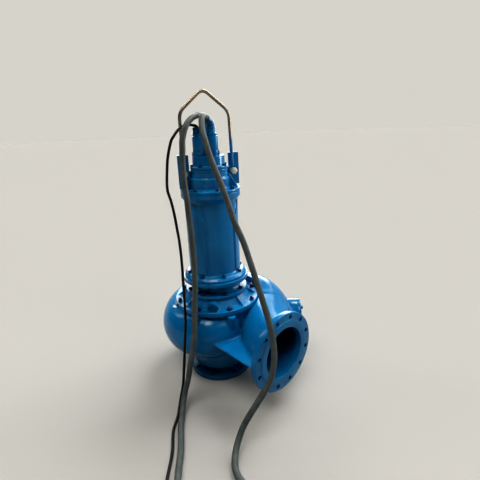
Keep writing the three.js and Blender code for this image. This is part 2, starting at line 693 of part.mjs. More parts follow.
// One cable: the free stretch, its coil as a plain ring, and the shrink cap on its end.
function freeCable(cable) {
  const { name, radius, coil } = cable;
  const path = cablePath(cable);
  const steps = Math.round(path.getLength() / (5 * radius));
  const sides = radius === POWER_R ? 10 : 8;
  add(`${name}_cable`, bar(path, radius, sides, steps), rubber, cords);
  const [x, y] = coil.centre;
  const half = coil.wide * radius;
  const tall = 2 * radius * coil.high;
  add(`${name}_cable_coil`, ring(coil.mean - half, coil.mean + half, 0, tall, 32)
    .translate(x, y, 0), rubber, cords);
  const capR = radius + 2;
  add(`${name}_cable_cap`, disc(capR, -CAP_LENGTH / 2, CAP_LENGTH / 2, 12)
    .rotateX(Math.PI / 2)
    .translate(coil.cap.reach, 0, 0)
    .rotateZ(coil.cap.azimuth * DEG)
    .translate(x, y, tall + GAP + capR), rubber, cords);
}

function bail() {
  const corners = [
    [-BAIL_HALF, BAIL_FOOT_Z], [BAIL_BENDS[0], BAIL_BEND_Z], [BAIL_APEX_U, BAIL_APEX_Z],
    [BAIL_BENDS[1], BAIL_BEND_Z], [BAIL_HALF, BAIL_FOOT_Z],
  ].map(([u, z]) => new THREE.Vector3(u, 0, z));
  const path = new THREE.CurvePath();
  let from = corners[0];
  for (let i = 1; i < 4; i += 1) {
    const before = corners[i].clone().add(corners[i - 1].clone().sub(corners[i]).setLength(BAIL_BEND_LENGTH));
    const after = corners[i].clone().add(corners[i + 1].clone().sub(corners[i]).setLength(BAIL_BEND_LENGTH));
    path.add(new THREE.LineCurve3(from, before));
    path.add(new THREE.QuadraticBezierCurve3(before, corners[i], after));
    from = after;
  }
  path.add(new THREE.LineCurve3(from, corners[4]));
  const rings = [];
  const stops = [];
  path.curves.forEach((curve, i) => {
    const cells = i % 2 ? 5 : 1;
    for (let j = i ? 1 : 0; j <= cells; j += 1) {
      stops.push([curve.getPoint(j / cells), curve.getTangent(j / cells)]);
    }
  });
  for (const [point, tangent] of stops) {
    const side = new THREE.Vector3(0, 1, 0);
    const up = new THREE.Vector3().crossVectors(tangent, side);
    rings.push(Array.from({ length: 12 }, (_, k) => point.clone()
      .addScaledVector(side, BAIL_ROD_R * Math.cos((k * Math.PI) / 6))
      .addScaledVector(up, BAIL_ROD_R * Math.sin((k * Math.PI) / 6))));
  }
  add("lifting_bail", loft(rings).rotateZ(BAIL_AZ * DEG), steel);
}

function brackets() {
  const near = BAIL_ROD_R + GAP;
  for (const { name, plate: centre, pin } of BRACKETS) {
    const plate = solid(block(centre - BRACKET_WIDTH / 2, centre + BRACKET_WIDTH / 2,
      near, near + BRACKET_THICK, BRACKET_BASE, BRACKET_TOP).rotateZ(BAIL_AZ * DEG));
    add(`${name}_bracket`, cut(plate, solid(pinShaft(pin, PIN_R + GAP, 0, 60))), paint);
    const bolt = join(
      solid(pinShaft(pin, PIN_R, near - 4, near + BRACKET_THICK + EAR_THICK + 4)),
      solid(pinShaft(pin, PIN_HEAD_R, near - 10 - GAP, near - GAP)),
    );
    add(`${name}_bracket_bolt`, bolt, steel);
  }
}

voluteCasing();
dischargeFlange();
suctionRing();
impeller();
portCover();
voluteCover();
oilChamber();
motorCasing();
crownCover();
junctionLid();
CABLES.forEach(cableEntry);
bail();
brackets();
CABLES.forEach(freeCable);

const box = new THREE.Box3().setFromObject(pump);
const whole = new THREE.Group();
whole.add(pump, cords);
whole.position.set(-(box.min.x + box.max.x) / 2, -(box.min.y + box.max.y) / 2, 0);
whole.updateMatrixWorld(true);

export default whole;
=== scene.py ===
"""Finish of an upright submersible sewage pump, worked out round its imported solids.

Every length is in metres and every angle in a field in degrees. A shape is drawn round the
pump shaft as arrays of points and is then moved to the shaft, so that each finished object
sits at the origin.
"""
import logging
import math
from dataclasses import dataclass
from enum import Enum
from typing import Protocol, Sequence

import bmesh
import bpy
import numpy as np
from mathutils import Matrix, Vector


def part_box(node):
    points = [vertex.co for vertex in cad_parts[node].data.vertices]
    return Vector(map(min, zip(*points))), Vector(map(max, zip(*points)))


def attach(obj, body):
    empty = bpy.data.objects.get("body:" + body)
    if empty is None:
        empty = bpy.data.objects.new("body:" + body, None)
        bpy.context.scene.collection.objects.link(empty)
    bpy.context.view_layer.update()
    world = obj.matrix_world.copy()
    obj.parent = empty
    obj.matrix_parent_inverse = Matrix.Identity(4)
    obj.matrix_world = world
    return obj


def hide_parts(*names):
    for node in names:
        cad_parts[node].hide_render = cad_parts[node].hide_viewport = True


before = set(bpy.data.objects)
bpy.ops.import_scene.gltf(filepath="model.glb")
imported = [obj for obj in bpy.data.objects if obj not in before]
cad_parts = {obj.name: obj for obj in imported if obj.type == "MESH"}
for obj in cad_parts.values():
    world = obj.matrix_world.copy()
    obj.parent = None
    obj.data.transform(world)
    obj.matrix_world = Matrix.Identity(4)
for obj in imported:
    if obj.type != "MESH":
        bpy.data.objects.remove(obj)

Tree = bpy.types.NodeTree
Socket = bpy.types.NodeSocket
Object = bpy.types.Object
Row = tuple[float, ...]
Pair = tuple[float, float]
Spot = tuple[float, float, float]
Pairs = tuple[Pair, ...]
Points = Sequence[Sequence[float]]

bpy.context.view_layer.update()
SHAFT = np.append(np.mean(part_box("oil_chamber"), axis=0)[:2], 0.0)
# Room between pieces that only touch, how far a cutting tool runs past what it cuts, the distance
# under which points merge, and the turn of each bolt in a ring against the one before, in degrees.
GAP = 0.0003
PAST = 0.01
MERGE = 2e-6
TWIST = 7.0
# Sides of a turned piece and of a small one.
SIDES = 128
SMALL_SIDES = 40
RESIN_IOR = 1.5

log = logging.getLogger("pump")


class Slot(Enum):
    """Material slots."""

    ENAMEL = "blue_enamel"
    STEEL = "bail_steel"
    ZINC = "zinc_bolt"
    IRON = "impeller_iron"
    POWER = "power_sheath"
    CONTROL = "control_sheath"
    CAP = "shrink_cap"


def linear(code: str) -> Row:
    """Turn an sRGB hex value, six digits after a hash, to linear red, green, blue and alpha."""
    parts = (int(code[i:i + 2], 16) / 255 for i in (1, 3, 5))
    return *(c / 12.92 if c <= 0.04045 else ((c + 0.055) / 1.055) ** 2.4 for c in parts), 1.0


def add_node(tree: Tree, kind: str, inputs: dict | None = None, output: str | int = 0,
             **settings) -> Socket | None:
    """Add a node with its settings, and set or link its inputs.

    Args:
        tree: the node tree of a material or of the world.
        kind: the node's type.
        inputs: a value or an output socket for each named or numbered input.
        output: which of its outputs is wanted.
        settings: the node's own settings.

    Returns:
        That output, or None for a node that has none.
    """
    node = tree.nodes.new(kind)
    for key, value in settings.items():
        setattr(node, key, value)
    for key, value in (inputs or {}).items():
        if isinstance(value, Socket):
            tree.links.new(value, node.inputs[key])
        else:
            node.inputs[key].default_value = value
    return node.outputs[output] if len(node.outputs) else None


def patches(tree: Tree, width: float, detail: float, low: float = 0.0, high: float = 1.0) -> Socket:
    """Lay soft patches on a piece: noise on Object coordinates, its middle part carried to a range.

    Args:
        tree: the material's node tree.
        width: how wide a patch is.
        detail: octaves of finer noise.
        low: lowest value.
        high: highest value.

    Returns:
        The value.
    """
    place = add_node(tree, "ShaderNodeTexCoord", output="Object")
    noise = add_node(tree, "ShaderNodeTexNoise", {"Vector": place, "Scale": 1 / width, "Detail": detail})
    return add_node(tree, "ShaderNodeMapRange", {
        "Value": noise, "From Min": 0.3, "From Max": 0.7, "To Min": low, "To Max": high,
    })


def two_tones(tree: Tree, width: float, detail: float, first: str, second: str) -> Socket:
    """Lay two hex colours in soft patches of a width and detail."""
    tones = {0: patches(tree, width, detail), 6: linear(first), 7: linear(second)}
    return add_node(tree, "ShaderNodeMix", tones, 2, data_type="RGBA")


def grit(tree: Tree, width: float, detail: float, depth: float, under: Socket | None = None) -> Socket:
    """Raise a surface by grains: noise on Object coordinates, of a real depth.

    Args:
        tree: the material's node tree.
        width: how wide a grain is.
        detail: octaves of finer noise.
        depth: how deep the grains are.
        under: a coarser surface that they lie on.

    Returns:
        The normal.
    """
    place = add_node(tree, "ShaderNodeTexCoord", output="Object")
    noise = add_node(tree, "ShaderNodeTexNoise", {"Vector": place, "Scale": 1 / width, "Detail": detail})
    inputs = {"Height": noise, "Distance": depth, "Strength": 1.0}
    if under is not None:
        inputs["Normal"] = under
    return add_node(tree, "ShaderNodeBump", inputs)


class Finish(Protocol):
    """What a piece is coated or made with."""

    name: str
    slot: Slot

    def paint(self, tree: Tree) -> Socket:
        """Lay the finish's nodes.

        Args:
            tree: the material's node tree.

        Returns:
            The surface.
        """


def material(finish: Finish) -> bpy.types.Material:
    """Make a finish's material, once.

    Args:
        finish: the finish.

    Returns:
        The same material at every call.
    """
    found = bpy.data.materials.get(finish.name)
    if found:
        return found
    made = bpy.data.materials.new(finish.name)
    made.use_nodes = True
    made.node_tree.nodes.clear()
    add_node(made.node_tree, "ShaderNodeOutputMaterial", {"Surface": finish.paint(made.node_tree)})
    return made


@dataclass(frozen=True)
class MachineEnamel:
    """Alkyd machine enamel, sprayed wet over iron.

    It gives the eye a deep blue with a glossy film, soft orange-peel ripples in its highlights,
    and, on a sand casting, the grit of the mould under the paint. The ripples of orange peel are
    2 to 4 mm wide. A real mould grain is about 1 mm. It is drawn at 7 mm, so that it shows at this
    size. cloud and sheen are the width and detail of the patches of colour and of gloss.
    """

    name: str = "alkyd_enamel_on_casting"
    slot: Slot = Slot.ENAMEL
    deep: str = "#055c8c"
    bright: str = "#0871a3"
    cloud: Pair = (0.16, 3.0)
    peel: float = 0.00006
    peel_grain: Pair = (0.004, 1.0)
    cast: float = 0.00045
    cast_grain: Pair = (0.007, 4.0)
    gloss: Pair = (0.13, 0.22)
    sheen: Pair = (0.05, 3.0)
    specular: float = 0.27

    def paint(self, tree: Tree) -> Socket:
        """Lay the finish's nodes.

        Args:
            tree: the material's node tree.

        Returns:
            The surface.
        """
        mould = grit(tree, *self.cast_grain, self.cast)
        return add_node(tree, "ShaderNodeBsdfPrincipled", {
            "Base Color": two_tones(tree, *self.cloud, self.deep, self.bright),
            "Roughness": patches(tree, *self.sheen, *self.gloss),
            "Normal": grit(tree, *self.peel_grain, self.peel, mould),
            "IOR": RESIN_IOR, "Specular IOR Level": self.specular,
        })


@dataclass(frozen=True)
class StainlessBar:
    """Drawn stainless bar, bent cold, with the enamel's overspray on its lower ends.

    It gives the eye a warm grey metal, duller where it is handled, and blue below a ragged edge.
    Hands leave patches about 60 mm wide, and the edge wanders over 30 mm.
    """

    name: str = "drawn_stainless_bar"
    slot: Slot = Slot.STEEL
    metal: str = "#887e72"
    worn: str = "#988d7f"
    handled: Pair = (0.06, 2.0)
    polish: Pair = (0.38, 0.46)
    paint_deep: str = "#05608f"
    paint_gloss: float = 0.35
    paint_top: float = 1.268
    paint_edge: float = 0.012
    paint_ragged: float = 0.03

    def paint(self, tree: Tree) -> Socket:
        """Lay the finish's nodes.

        Args:
            tree: the material's node tree.

        Returns:
            The surface.
        """
        bare = add_node(tree, "ShaderNodeBsdfPrincipled", {
            "Base Color": two_tones(tree, *self.handled, self.metal, self.worn),
            "Metallic": 1.0, "Roughness": patches(tree, *self.handled, *self.polish),
        })
        coated = add_node(tree, "ShaderNodeBsdfPrincipled", {
            "Base Color": linear(self.paint_deep), "Roughness": self.paint_gloss, "IOR": RESIN_IOR,
        })
        edge, top = self.paint_edge, self.paint_top + self.paint_ragged / 2
        place = add_node(tree, "ShaderNodeTexCoord", output="Object")
        height = add_node(tree, "ShaderNodeSeparateXYZ", {"Vector": place}, "Z")
        noise = add_node(tree, "ShaderNodeTexNoise", {"Vector": place, "Scale": 1 / edge, "Detail": 3.0})
        ragged = add_node(tree, "ShaderNodeMath", {0: noise, 1: self.paint_ragged, 2: height},
                          operation="MULTIPLY_ADD")
        above = add_node(tree, "ShaderNodeMapRange", {
            "Value": ragged, "From Min": top - edge, "From Max": top + edge,
        })
        return add_node(tree, "ShaderNodeMixShader", {"Fac": above, 1: coated, 2: bare})


@dataclass(frozen=True)
class Steel:
    """Plain steel of a fastener, plated or darkened by oil and overspray.

    It gives the eye a small hard glint on each edge of a head or nut. Its smudges are 6 mm wide.
    Pits of about 0.5 mm are drawn at 1.5 mm, so that they show.
    """

    name: str
    slot: Slot
    first: str
    second: str
    metallic: float
    gloss: Pair
    smudge: Pair = (0.006, 3.0)
    pits: Row = (0.0015, 2.0, 0.00005)

    def paint(self, tree: Tree) -> Socket:
        """Lay the finish's nodes.

        Args:
            tree: the material's node tree.

        Returns:
            The surface.
        """
        return add_node(tree, "ShaderNodeBsdfPrincipled", {
            "Base Color": two_tones(tree, *self.smudge, self.first, self.second),
            "Metallic": self.metallic, "Roughness": patches(tree, *self.smudge, *self.gloss),
            "Normal": grit(tree, *self.pits),
        })


@dataclass(frozen=True)
class Rubber:
    """Chloroprene rubber, extruded as a cable sheath or moulded as a sleeve.

    It gives the eye a soft grey band of light along the cable, with faint rub marks 30 mm wide.
    Its talc grain of 0.5 mm is drawn at 2 mm, so that it shows.
    """

    name: str
    slot: Slot
    first: str
    second: str
    gloss: Pair
    rub: Pair = (0.03, 4.0)
    talc: Row = (0.002, 2.0, 0.00006)
    specular: float = 0.3

    def paint(self, tree: Tree) -> Socket:
        """Lay the finish's nodes.

        Args:
            tree: the material's node tree.

        Returns:
            The surface.
        """
        return add_node(tree, "ShaderNodeBsdfPrincipled", {
            "Base Color": two_tones(tree, *self.rub, self.first, self.second),
            "Roughness": patches(tree, *self.rub, *self.gloss),
            "Normal": grit(tree, *self.talc), "IOR": RESIN_IOR, "Specular IOR Level": self.specular,
        })


CASTING = MachineEnamel()
PLATE = MachineEnamel(name="alkyd_enamel_on_steel", cast=0.00012)
# A darker copy of the blue enamel that stands in for shade: painted shade on the suction foot, the thin
# cable's gland collar and the power cables' sleeves, which lie in shadow.
SHADED = MachineEnamel(name="enamel_darkened_as_painted_shade", deep="#064570", bright="#0a5a88", cast=0.00012)
ROUGH = MachineEnamel(name="alkyd_enamel_on_rough_casting", cast=0.0016)
BAR = StainlessBar()
BLACKED = Steel("sprayed_steel_nut", Slot.ENAMEL, "#082a4a", "#0a4474", 0.2, (0.22, 0.4))
PLATED = Steel("zinc_plated_bolt", Slot.ZINC, "#b4b2a6", "#c4c2b6", 0.55, (0.4, 0.5))
IRON = Steel("painted_cast_iron", Slot.IRON, "#123253", "#1b4a78", 0.2, (0.35, 0.55))
POWER_SHEATH = Rubber("grey_chloroprene_sheath", Slot.POWER, "#3f4647", "#505758", (0.5, 0.62))
CONTROL_SHEATH = Rubber("black_chloroprene_sheath", Slot.CONTROL, "#0a0b0c", "#141516", (0.32, 0.46))
SHRINK = Rubber("heat_shrunk_polyolefin", Slot.CAP, "#0e0f10", "#1b1c1d", (0.5, 0.65))


def ease(share: np.ndarray) -> np.ndarray:
    """Return t^2 (3 - 2t) of a share t, held between 0 and 1."""
    t = np.clip(share, 0, 1)
    return t * t * (3 - 2 * t)


def lengths(line: np.ndarray) -> np.ndarray:
    """Return how far each point of a line is along it."""
    return np.concatenate([[0], np.cumsum(np.linalg.norm(np.diff(line, axis=0), axis=1))])


def spline(knots: np.ndarray, steps: int = 40) -> np.ndarray:
    """Return a centripetal Catmull-Rom curve through its knots.

    With d the square root of the distance between two knots, the slope at a knot is
    (p1-p0)/d0 - (p2-p0)/(d0+d1) + (p2-p1)/d1, and each stretch is the cubic with those slopes.

    Args:
        knots: the points it passes through.
        steps: points on each stretch.

    Returns:
        The curve's points.
    """
    padded = np.concatenate([2 * knots[:1] - knots[1:2], knots, 2 * knots[-1:] - knots[-2:-1]])
    p0, p1, p2, p3 = padded[:-3], padded[1:-2], padded[2:-1], padded[3:]
    d = np.sqrt(np.linalg.norm(np.diff(padded, axis=0), axis=1))[:, None]
    d0, d1, d2 = d[:-2], d[1:-1], d[2:]
    first = ((p1 - p0) / d0 - (p2 - p0) / (d0 + d1) + (p2 - p1) / d1) * d1
    second = ((p2 - p1) / d1 - (p3 - p1) / (d1 + d2) + (p3 - p2) / d2) * d1
    t = np.linspace(0, 1, steps, endpoint=False)[:, None, None]
    curve = ((2 * t ** 3 - 3 * t ** 2 + 1) * p1 + (t ** 3 - 2 * t ** 2 + t) * first
             + (3 * t ** 2 - 2 * t ** 3) * p2 + (t ** 3 - t ** 2) * second)
    return np.concatenate([curve.transpose(1, 0, 2).reshape(-1, 3), knots[-1:]])


@dataclass
class Shell:
    """Points and four-cornered faces of one closed form."""

    points: np.ndarray
    faces: np.ndarray

    def moved(self, matrix: np.ndarray) -> "Shell":
        """Return the shell carried by a 4 by 4 matrix."""
        return Shell(self.points @ matrix[:3, :3].T + matrix[:3, 3], self.faces)


def joined(shells: Sequence[Shell]) -> Shell:
    """Return one shell that holds the points and faces of several."""
    starts = np.cumsum([0] + [len(s.points) for s in shells[:-1]])
    return Shell(
        np.concatenate([s.points for s in shells]),
        np.concatenate([s.faces + start for s, start in zip(shells, starts)]),
    )


def skin(rings: np.ndarray, closed: bool = False) -> Shell:
    """Skin a stack of rings, each closed on itself.

    The face at row i and column j joins points (i, j), (i, j+1), (i+1, j+1) and (i+1, j), and
    columns run round. An open stack is capped by a row drawn in to the middle of its end ring.

    Args:
        rings: array of rows by columns by 3.
        closed: whether the last row joins the first.

    Returns:
        The closed shell.
    """
    if not closed:
        caps = [np.broadcast_to(r.mean(axis=0), r.shape)[None] for r in (rings[0], rings[-1])]
        rings = np.concatenate([caps[0], rings, caps[1]])
    rows, columns = rings.shape[:2]
    number = np.arange(rows * columns).reshape(rows, columns)
    if closed:
        number = np.concatenate([number, number[:1]])
    beside = np.roll(number, -1, axis=1)
    faces = np.stack([number[:-1], beside[:-1], beside[1:], number[1:]], axis=-1)
    return Shell(rings.reshape(-1, 3), faces.reshape(-1, 4))


def soften(outline: Points, radius: float = 0.0015, steps: int = 4, closed: bool = False) -> np.ndarray:
    """Round the corners of an outline.

    Each corner P between neighbours A and B becomes the curve (1-s)^2 P0 + 2 s (1-s) P + s^2 P1,
    where P0 and P1 lie one radius from P towards A and B, or less on a short side.

    Args:
        outline: corner points.
        radius: how far from a corner its curve starts.
        steps: points on each curve.
        closed: whether the outline's ends join, so that they are rounded too.

    Returns:
        The rounded outline's points.
    """
    corner = ends = np.asarray(outline, float)
    before, after = np.roll(corner, 1, axis=0), np.roll(corner, -1, axis=0)
    if not closed:
        corner, before, after = corner[1:-1], before[1:-1], after[1:-1]
    s = np.linspace(0, 1, steps)[None, :, None]

    def near(other: np.ndarray) -> np.ndarray:
        """Return the points one radius from each corner towards its neighbour."""
        way = other - corner
        size = np.linalg.norm(way, axis=1, keepdims=True)
        return (corner + way / size * np.minimum(radius, 0.45 * size))[:, None]

    curves = (1 - s) ** 2 * near(before) + 2 * s * (1 - s) * corner[:, None] + s ** 2 * near(after)
    points = curves.reshape(-1, corner.shape[1])
    return points if closed else np.concatenate([ends[:1], points, ends[-1:]])


def revolve(profile: Points, sides: int = SIDES, closed: bool = False) -> Shell:
    """Turn a profile of (r, z) points about Z: each goes to (r cos a, r sin a, z) for all a.

    Args:
        profile: the points.
        sides: steps of the turn.
        closed: whether the profile's ends join.

    Returns:
        The turned shell.
    """
    angle = np.linspace(0, 2 * np.pi, sides, endpoint=False)
    radius, height = np.asarray(profile, float).T[:, :, None]
    flat = np.ones_like(angle)
    rings = np.stack([radius * np.cos(angle), radius * np.sin(angle), height * flat], axis=-1)
    return skin(rings, closed)


def barrel(radius: float, low: float, high: float) -> list[list[float]]:
    """Return the profile of a plain cylinder."""
    return [[0, low], [radius, low], [radius, high], [0, high]]


def placed(azimuth: float = 0.0, at: Sequence[float] = (0, 0, 0), tilt: float = 0.0,
           spin: float = 0.0) -> np.ndarray:
    """Return the matrix that spins a shape about Z, tilts it about Y, turns it about Z and moves it."""
    turn, lean, twist = (Matrix.Rotation(math.radians(angle), 4, axis)
                         for angle, axis in ((azimuth, "Z"), (tilt, "Y"), (spin, "Z")))
    return np.array(Matrix.Translation(Vector(at)) @ turn @ lean @ twist)


def raised(at: Sequence[float] = (0, 0, 0)) -> np.ndarray:
    """Return the matrix that turns a flat shape upright, about X, and moves it."""
    return np.array(Matrix.Translation(Vector(at)) @ Matrix.Rotation(math.radians(90), 4, "X"))


def polar(radius: float | np.ndarray, azimuth: float | np.ndarray, z: float | np.ndarray = 0.0) -> np.ndarray:
    """Return the point at a radius, an azimuth in degrees and a height."""
    turn = np.radians(azimuth)
    return np.stack(np.broadcast_arrays(radius * np.cos(turn), radius * np.sin(turn), z), axis=-1)


def repeated(shell: Shell, matrices: Sequence[np.ndarray]) -> Shell:
    """Return copies of a shell, one carried by each matrix."""
    return joined([shell.moved(m) for m in matrices])


def circle(count: int, radius: float, z: float, first: float) -> list[np.ndarray]:
    """Return places spread evenly round the shaft, each a little more twisted than the last."""
    azimuths = first + 360 / count * np.arange(count)
    return [placed(a, polar(radius, a, z), spin=TWIST * i) for i, a in enumerate(azimuths)]


def layers(rings: Sequence[np.ndarray], heights: Sequence[float]) -> Shell:
    """Skin flat rings of (x, y) points, each at its height."""
    return skin(np.stack([np.column_stack([ring, np.full(len(ring), z)]) for ring, z in zip(rings, heights)]))


def block(low: Sequence[float], high: Sequence[float]) -> Shell:
    """Return a box between two corners."""
    ring = np.array([low[:2], [high[0], low[1]], high[:2], [low[0], high[1]]])
    return layers([ring, ring], (low[2], high[2]))


def prism(outline: np.ndarray, low: float, high: float, edge: float) -> Shell:
    """Raise a flat outline.

    Where its rim is drawn in, a point p goes to m + (p - m) (1 - edge / d), with m the middle of
    the outline and d the distance from m to p.

    Args:
        outline: its points.
        low: the lower level.
        high: the upper level.
        edge: how far its rim is drawn in at both.

    Returns:
        The plate.
    """
    middle = outline.mean(axis=0)
    size = np.linalg.norm(outline - middle, axis=1, keepdims=True)
    drawn = middle + (outline - middle) * (1 - edge / size)
    return layers([drawn, outline, outline, drawn], (low, low + edge, high - edge, high))


def web(outline: Points, near: float, far: float) -> Shell:
    """Carry an upright outline of (x, z) points from one y to another."""
    x, z = np.asarray(outline, float).T
    return skin(np.stack([np.column_stack([x, np.full_like(x, y), z]) for y in (near, far)]))


def sweep(path: np.ndarray, radius: float | np.ndarray, side: Sequence[float], sides: int = 24) -> Shell:
    """Carry a circle along a path.

    At each path point the circle lies across the tangent t, on the axes u = side made square to t
    and v = t x u, so its points are p + r (u cos a + v sin a).

    Args:
        path: the path's points.
        radius: one radius, or one for each point.
        side: a direction that the path never runs along.
        sides: points on the circle.

    Returns:
        The capped tube.
    """
    tangent = np.gradient(path, axis=0)
    tangent /= np.linalg.norm(tangent, axis=1, keepdims=True)
    u = np.asarray(side, float) - tangent * (tangent @ np.asarray(side, float))[:, None]
    u /= np.linalg.norm(u, axis=1, keepdims=True)
    v = np.cross(tangent, u)
    angle = np.linspace(0, 2 * np.pi, sides, endpoint=False)[None, :, None]
    reach = np.broadcast_to(radius, len(path))[:, None, None]
    return skin(path[:, None] + reach * (u[:, None] * np.cos(angle) + v[:, None] * np.sin(angle)))


def linked(name: str, data: bpy.types.ID) -> Object:
    """Put a new object in the scene.

    Args:
        name: its name.
        data: its mesh, curve, camera or light.

    Returns:
        The object.
    """
    made = bpy.data.objects.new(name, data)
    bpy.context.scene.collection.objects.link(made)
    return made


def mesh_object(name: str, shells: Sequence[Shell]) -> Object:
    """Put shells, moved to the pump shaft, in one object with its doubles merged and faces out.

    Args:
        name: the object's name.
        shells: its shells, drawn round the shaft.

    Returns:
        The object.
    """
    shape = joined(shells)
    mesh = bpy.data.meshes.new(name)
    mesh.from_pydata((shape.points + SHAFT).tolist(), [], shape.faces.tolist())
    work = bmesh.new()
    work.from_mesh(mesh)
    bmesh.ops.remove_doubles(work, verts=work.verts, dist=MERGE)
    bmesh.ops.dissolve_degenerate(work, edges=work.edges, dist=MERGE)
    bmesh.ops.recalc_face_normals(work, faces=work.faces)
    work.to_mesh(mesh)
    work.free()
    return linked(name, mesh)


def settle(piece: Object) -> None:
    """Make a piece's modifiers part of its mesh.

    Args:
        piece: the object.
    """
    graph = bpy.context.evaluated_depsgraph_get()
    old = piece.data
    piece.data = bpy.data.meshes.new_from_object(piece.evaluated_get(graph))
    piece.modifiers.clear()
    bpy.data.meshes.remove(old)


def fused(name: str, shells: Sequence[Shell], voxel: float, smoothing: int) -> Object:
    """Fuse overlapping shells on a grid of voxels and smooth the result, which fillets its corners.

    Args:
        name: the object's name.
        shells: the shells, each closed.
        voxel: size of a voxel.
        smoothing: how many times the result is smoothed.

    Returns:
        The object.
    """
    made = mesh_object(name, shells)
    grid = made.modifiers.new("fuse", "REMESH")
    grid.mode = "VOXEL"
    grid.voxel_size = voxel
    fillet = made.modifiers.new("fillet", "SMOOTH")
    fillet.factor = 0.5
    fillet.iterations = smoothing
    settle(made)
    return made


def hollowed(piece: Object, tool: Object) -> None:
    """Take a tool's volume out of a piece, and delete the tool.

    Args:
        piece: the object to cut.
        tool: the object to cut it with.
    """
    difference = piece.modifiers.new("cut", "BOOLEAN")
    difference.operation = "DIFFERENCE"
    difference.solver = "MANIFOLD"
    difference.object = tool
    settle(piece)
    bpy.data.objects.remove(tool)


def dress(piece: Object, finish: Finish, nodes: Sequence[str] = (), angle: float = 35.0) -> None:
    """Finish a piece, ride it on the root body and hide the nodes it stands for.

    Args:
        piece: the object.
        finish: its finish.
        nodes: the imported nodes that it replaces.
        angle: edges sharper than this many degrees stay crisp.
    """
    faces = getattr(piece.data, "polygons", ())
    if len(faces):
        faces.foreach_set("use_smooth", np.ones(len(faces), bool))
        piece.data.set_sharp_from_angle(angle=math.radians(angle))
    piece.data.materials.clear()
    piece.data.materials.append(material(finish))
    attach(piece, "root")
    if nodes:
        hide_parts(*nodes)
    log.info("%s: %d faces", piece.name, len(faces))


def add_piece(name: str, shells: Sequence[Shell], finish: Finish, nodes: Sequence[str] = ()) -> Object:
    """Make a dressed piece.

    Args:
        name: its name.
        shells: its shells, drawn round the shaft.
        finish: its finish.
        nodes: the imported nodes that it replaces.

    Returns:
        The object.
    """
    made = mesh_object(name, shells)
    dress(made, finish, nodes)
    return made


def hex_bolt(across: float, height: float, washer: float = 0.0, stud: float = 0.0) -> Shell:
    """Return a hexagon head or nut on a washer, with a stud end above it.

    The head is a six-sided turning whose top edge is drawn in by a tenth of its width.

    Args:
        across: width over the flats.
        height: height of the head.
        washer: radius of the washer, or 0 for none.
        stud: how far the stud stands above the nut, or 0 for none.

    Returns:
        The shell, standing on z = 0.
    """
    corner, rim, tip = across / math.sqrt(3), 0.1 * across, 0.002
    base = 0.15 * across if washer else 0.0
    top = base + height
    head = [[0, base], [corner, base], [corner, top - rim * 0.6], [corner - rim, top], [0, top]]
    parts = [revolve(head, 6)]
    if washer:
        parts.append(revolve(barrel(washer, 0, base), 20))
    if stud:
        thick, end = 0.28 * across, top + stud
        pin = [[0, base], [thick, base], [thick, end - tip], [thick - tip, end], [0, end]]
        parts.append(revolve(pin, 12))
    return joined(parts)


def add_bolts(name: str, head: Shell, places: Sequence[np.ndarray]) -> None:
    """Make one piece of like fasteners, one at each place."""
    add_piece(name, [repeated(head, places)], BLACKED)


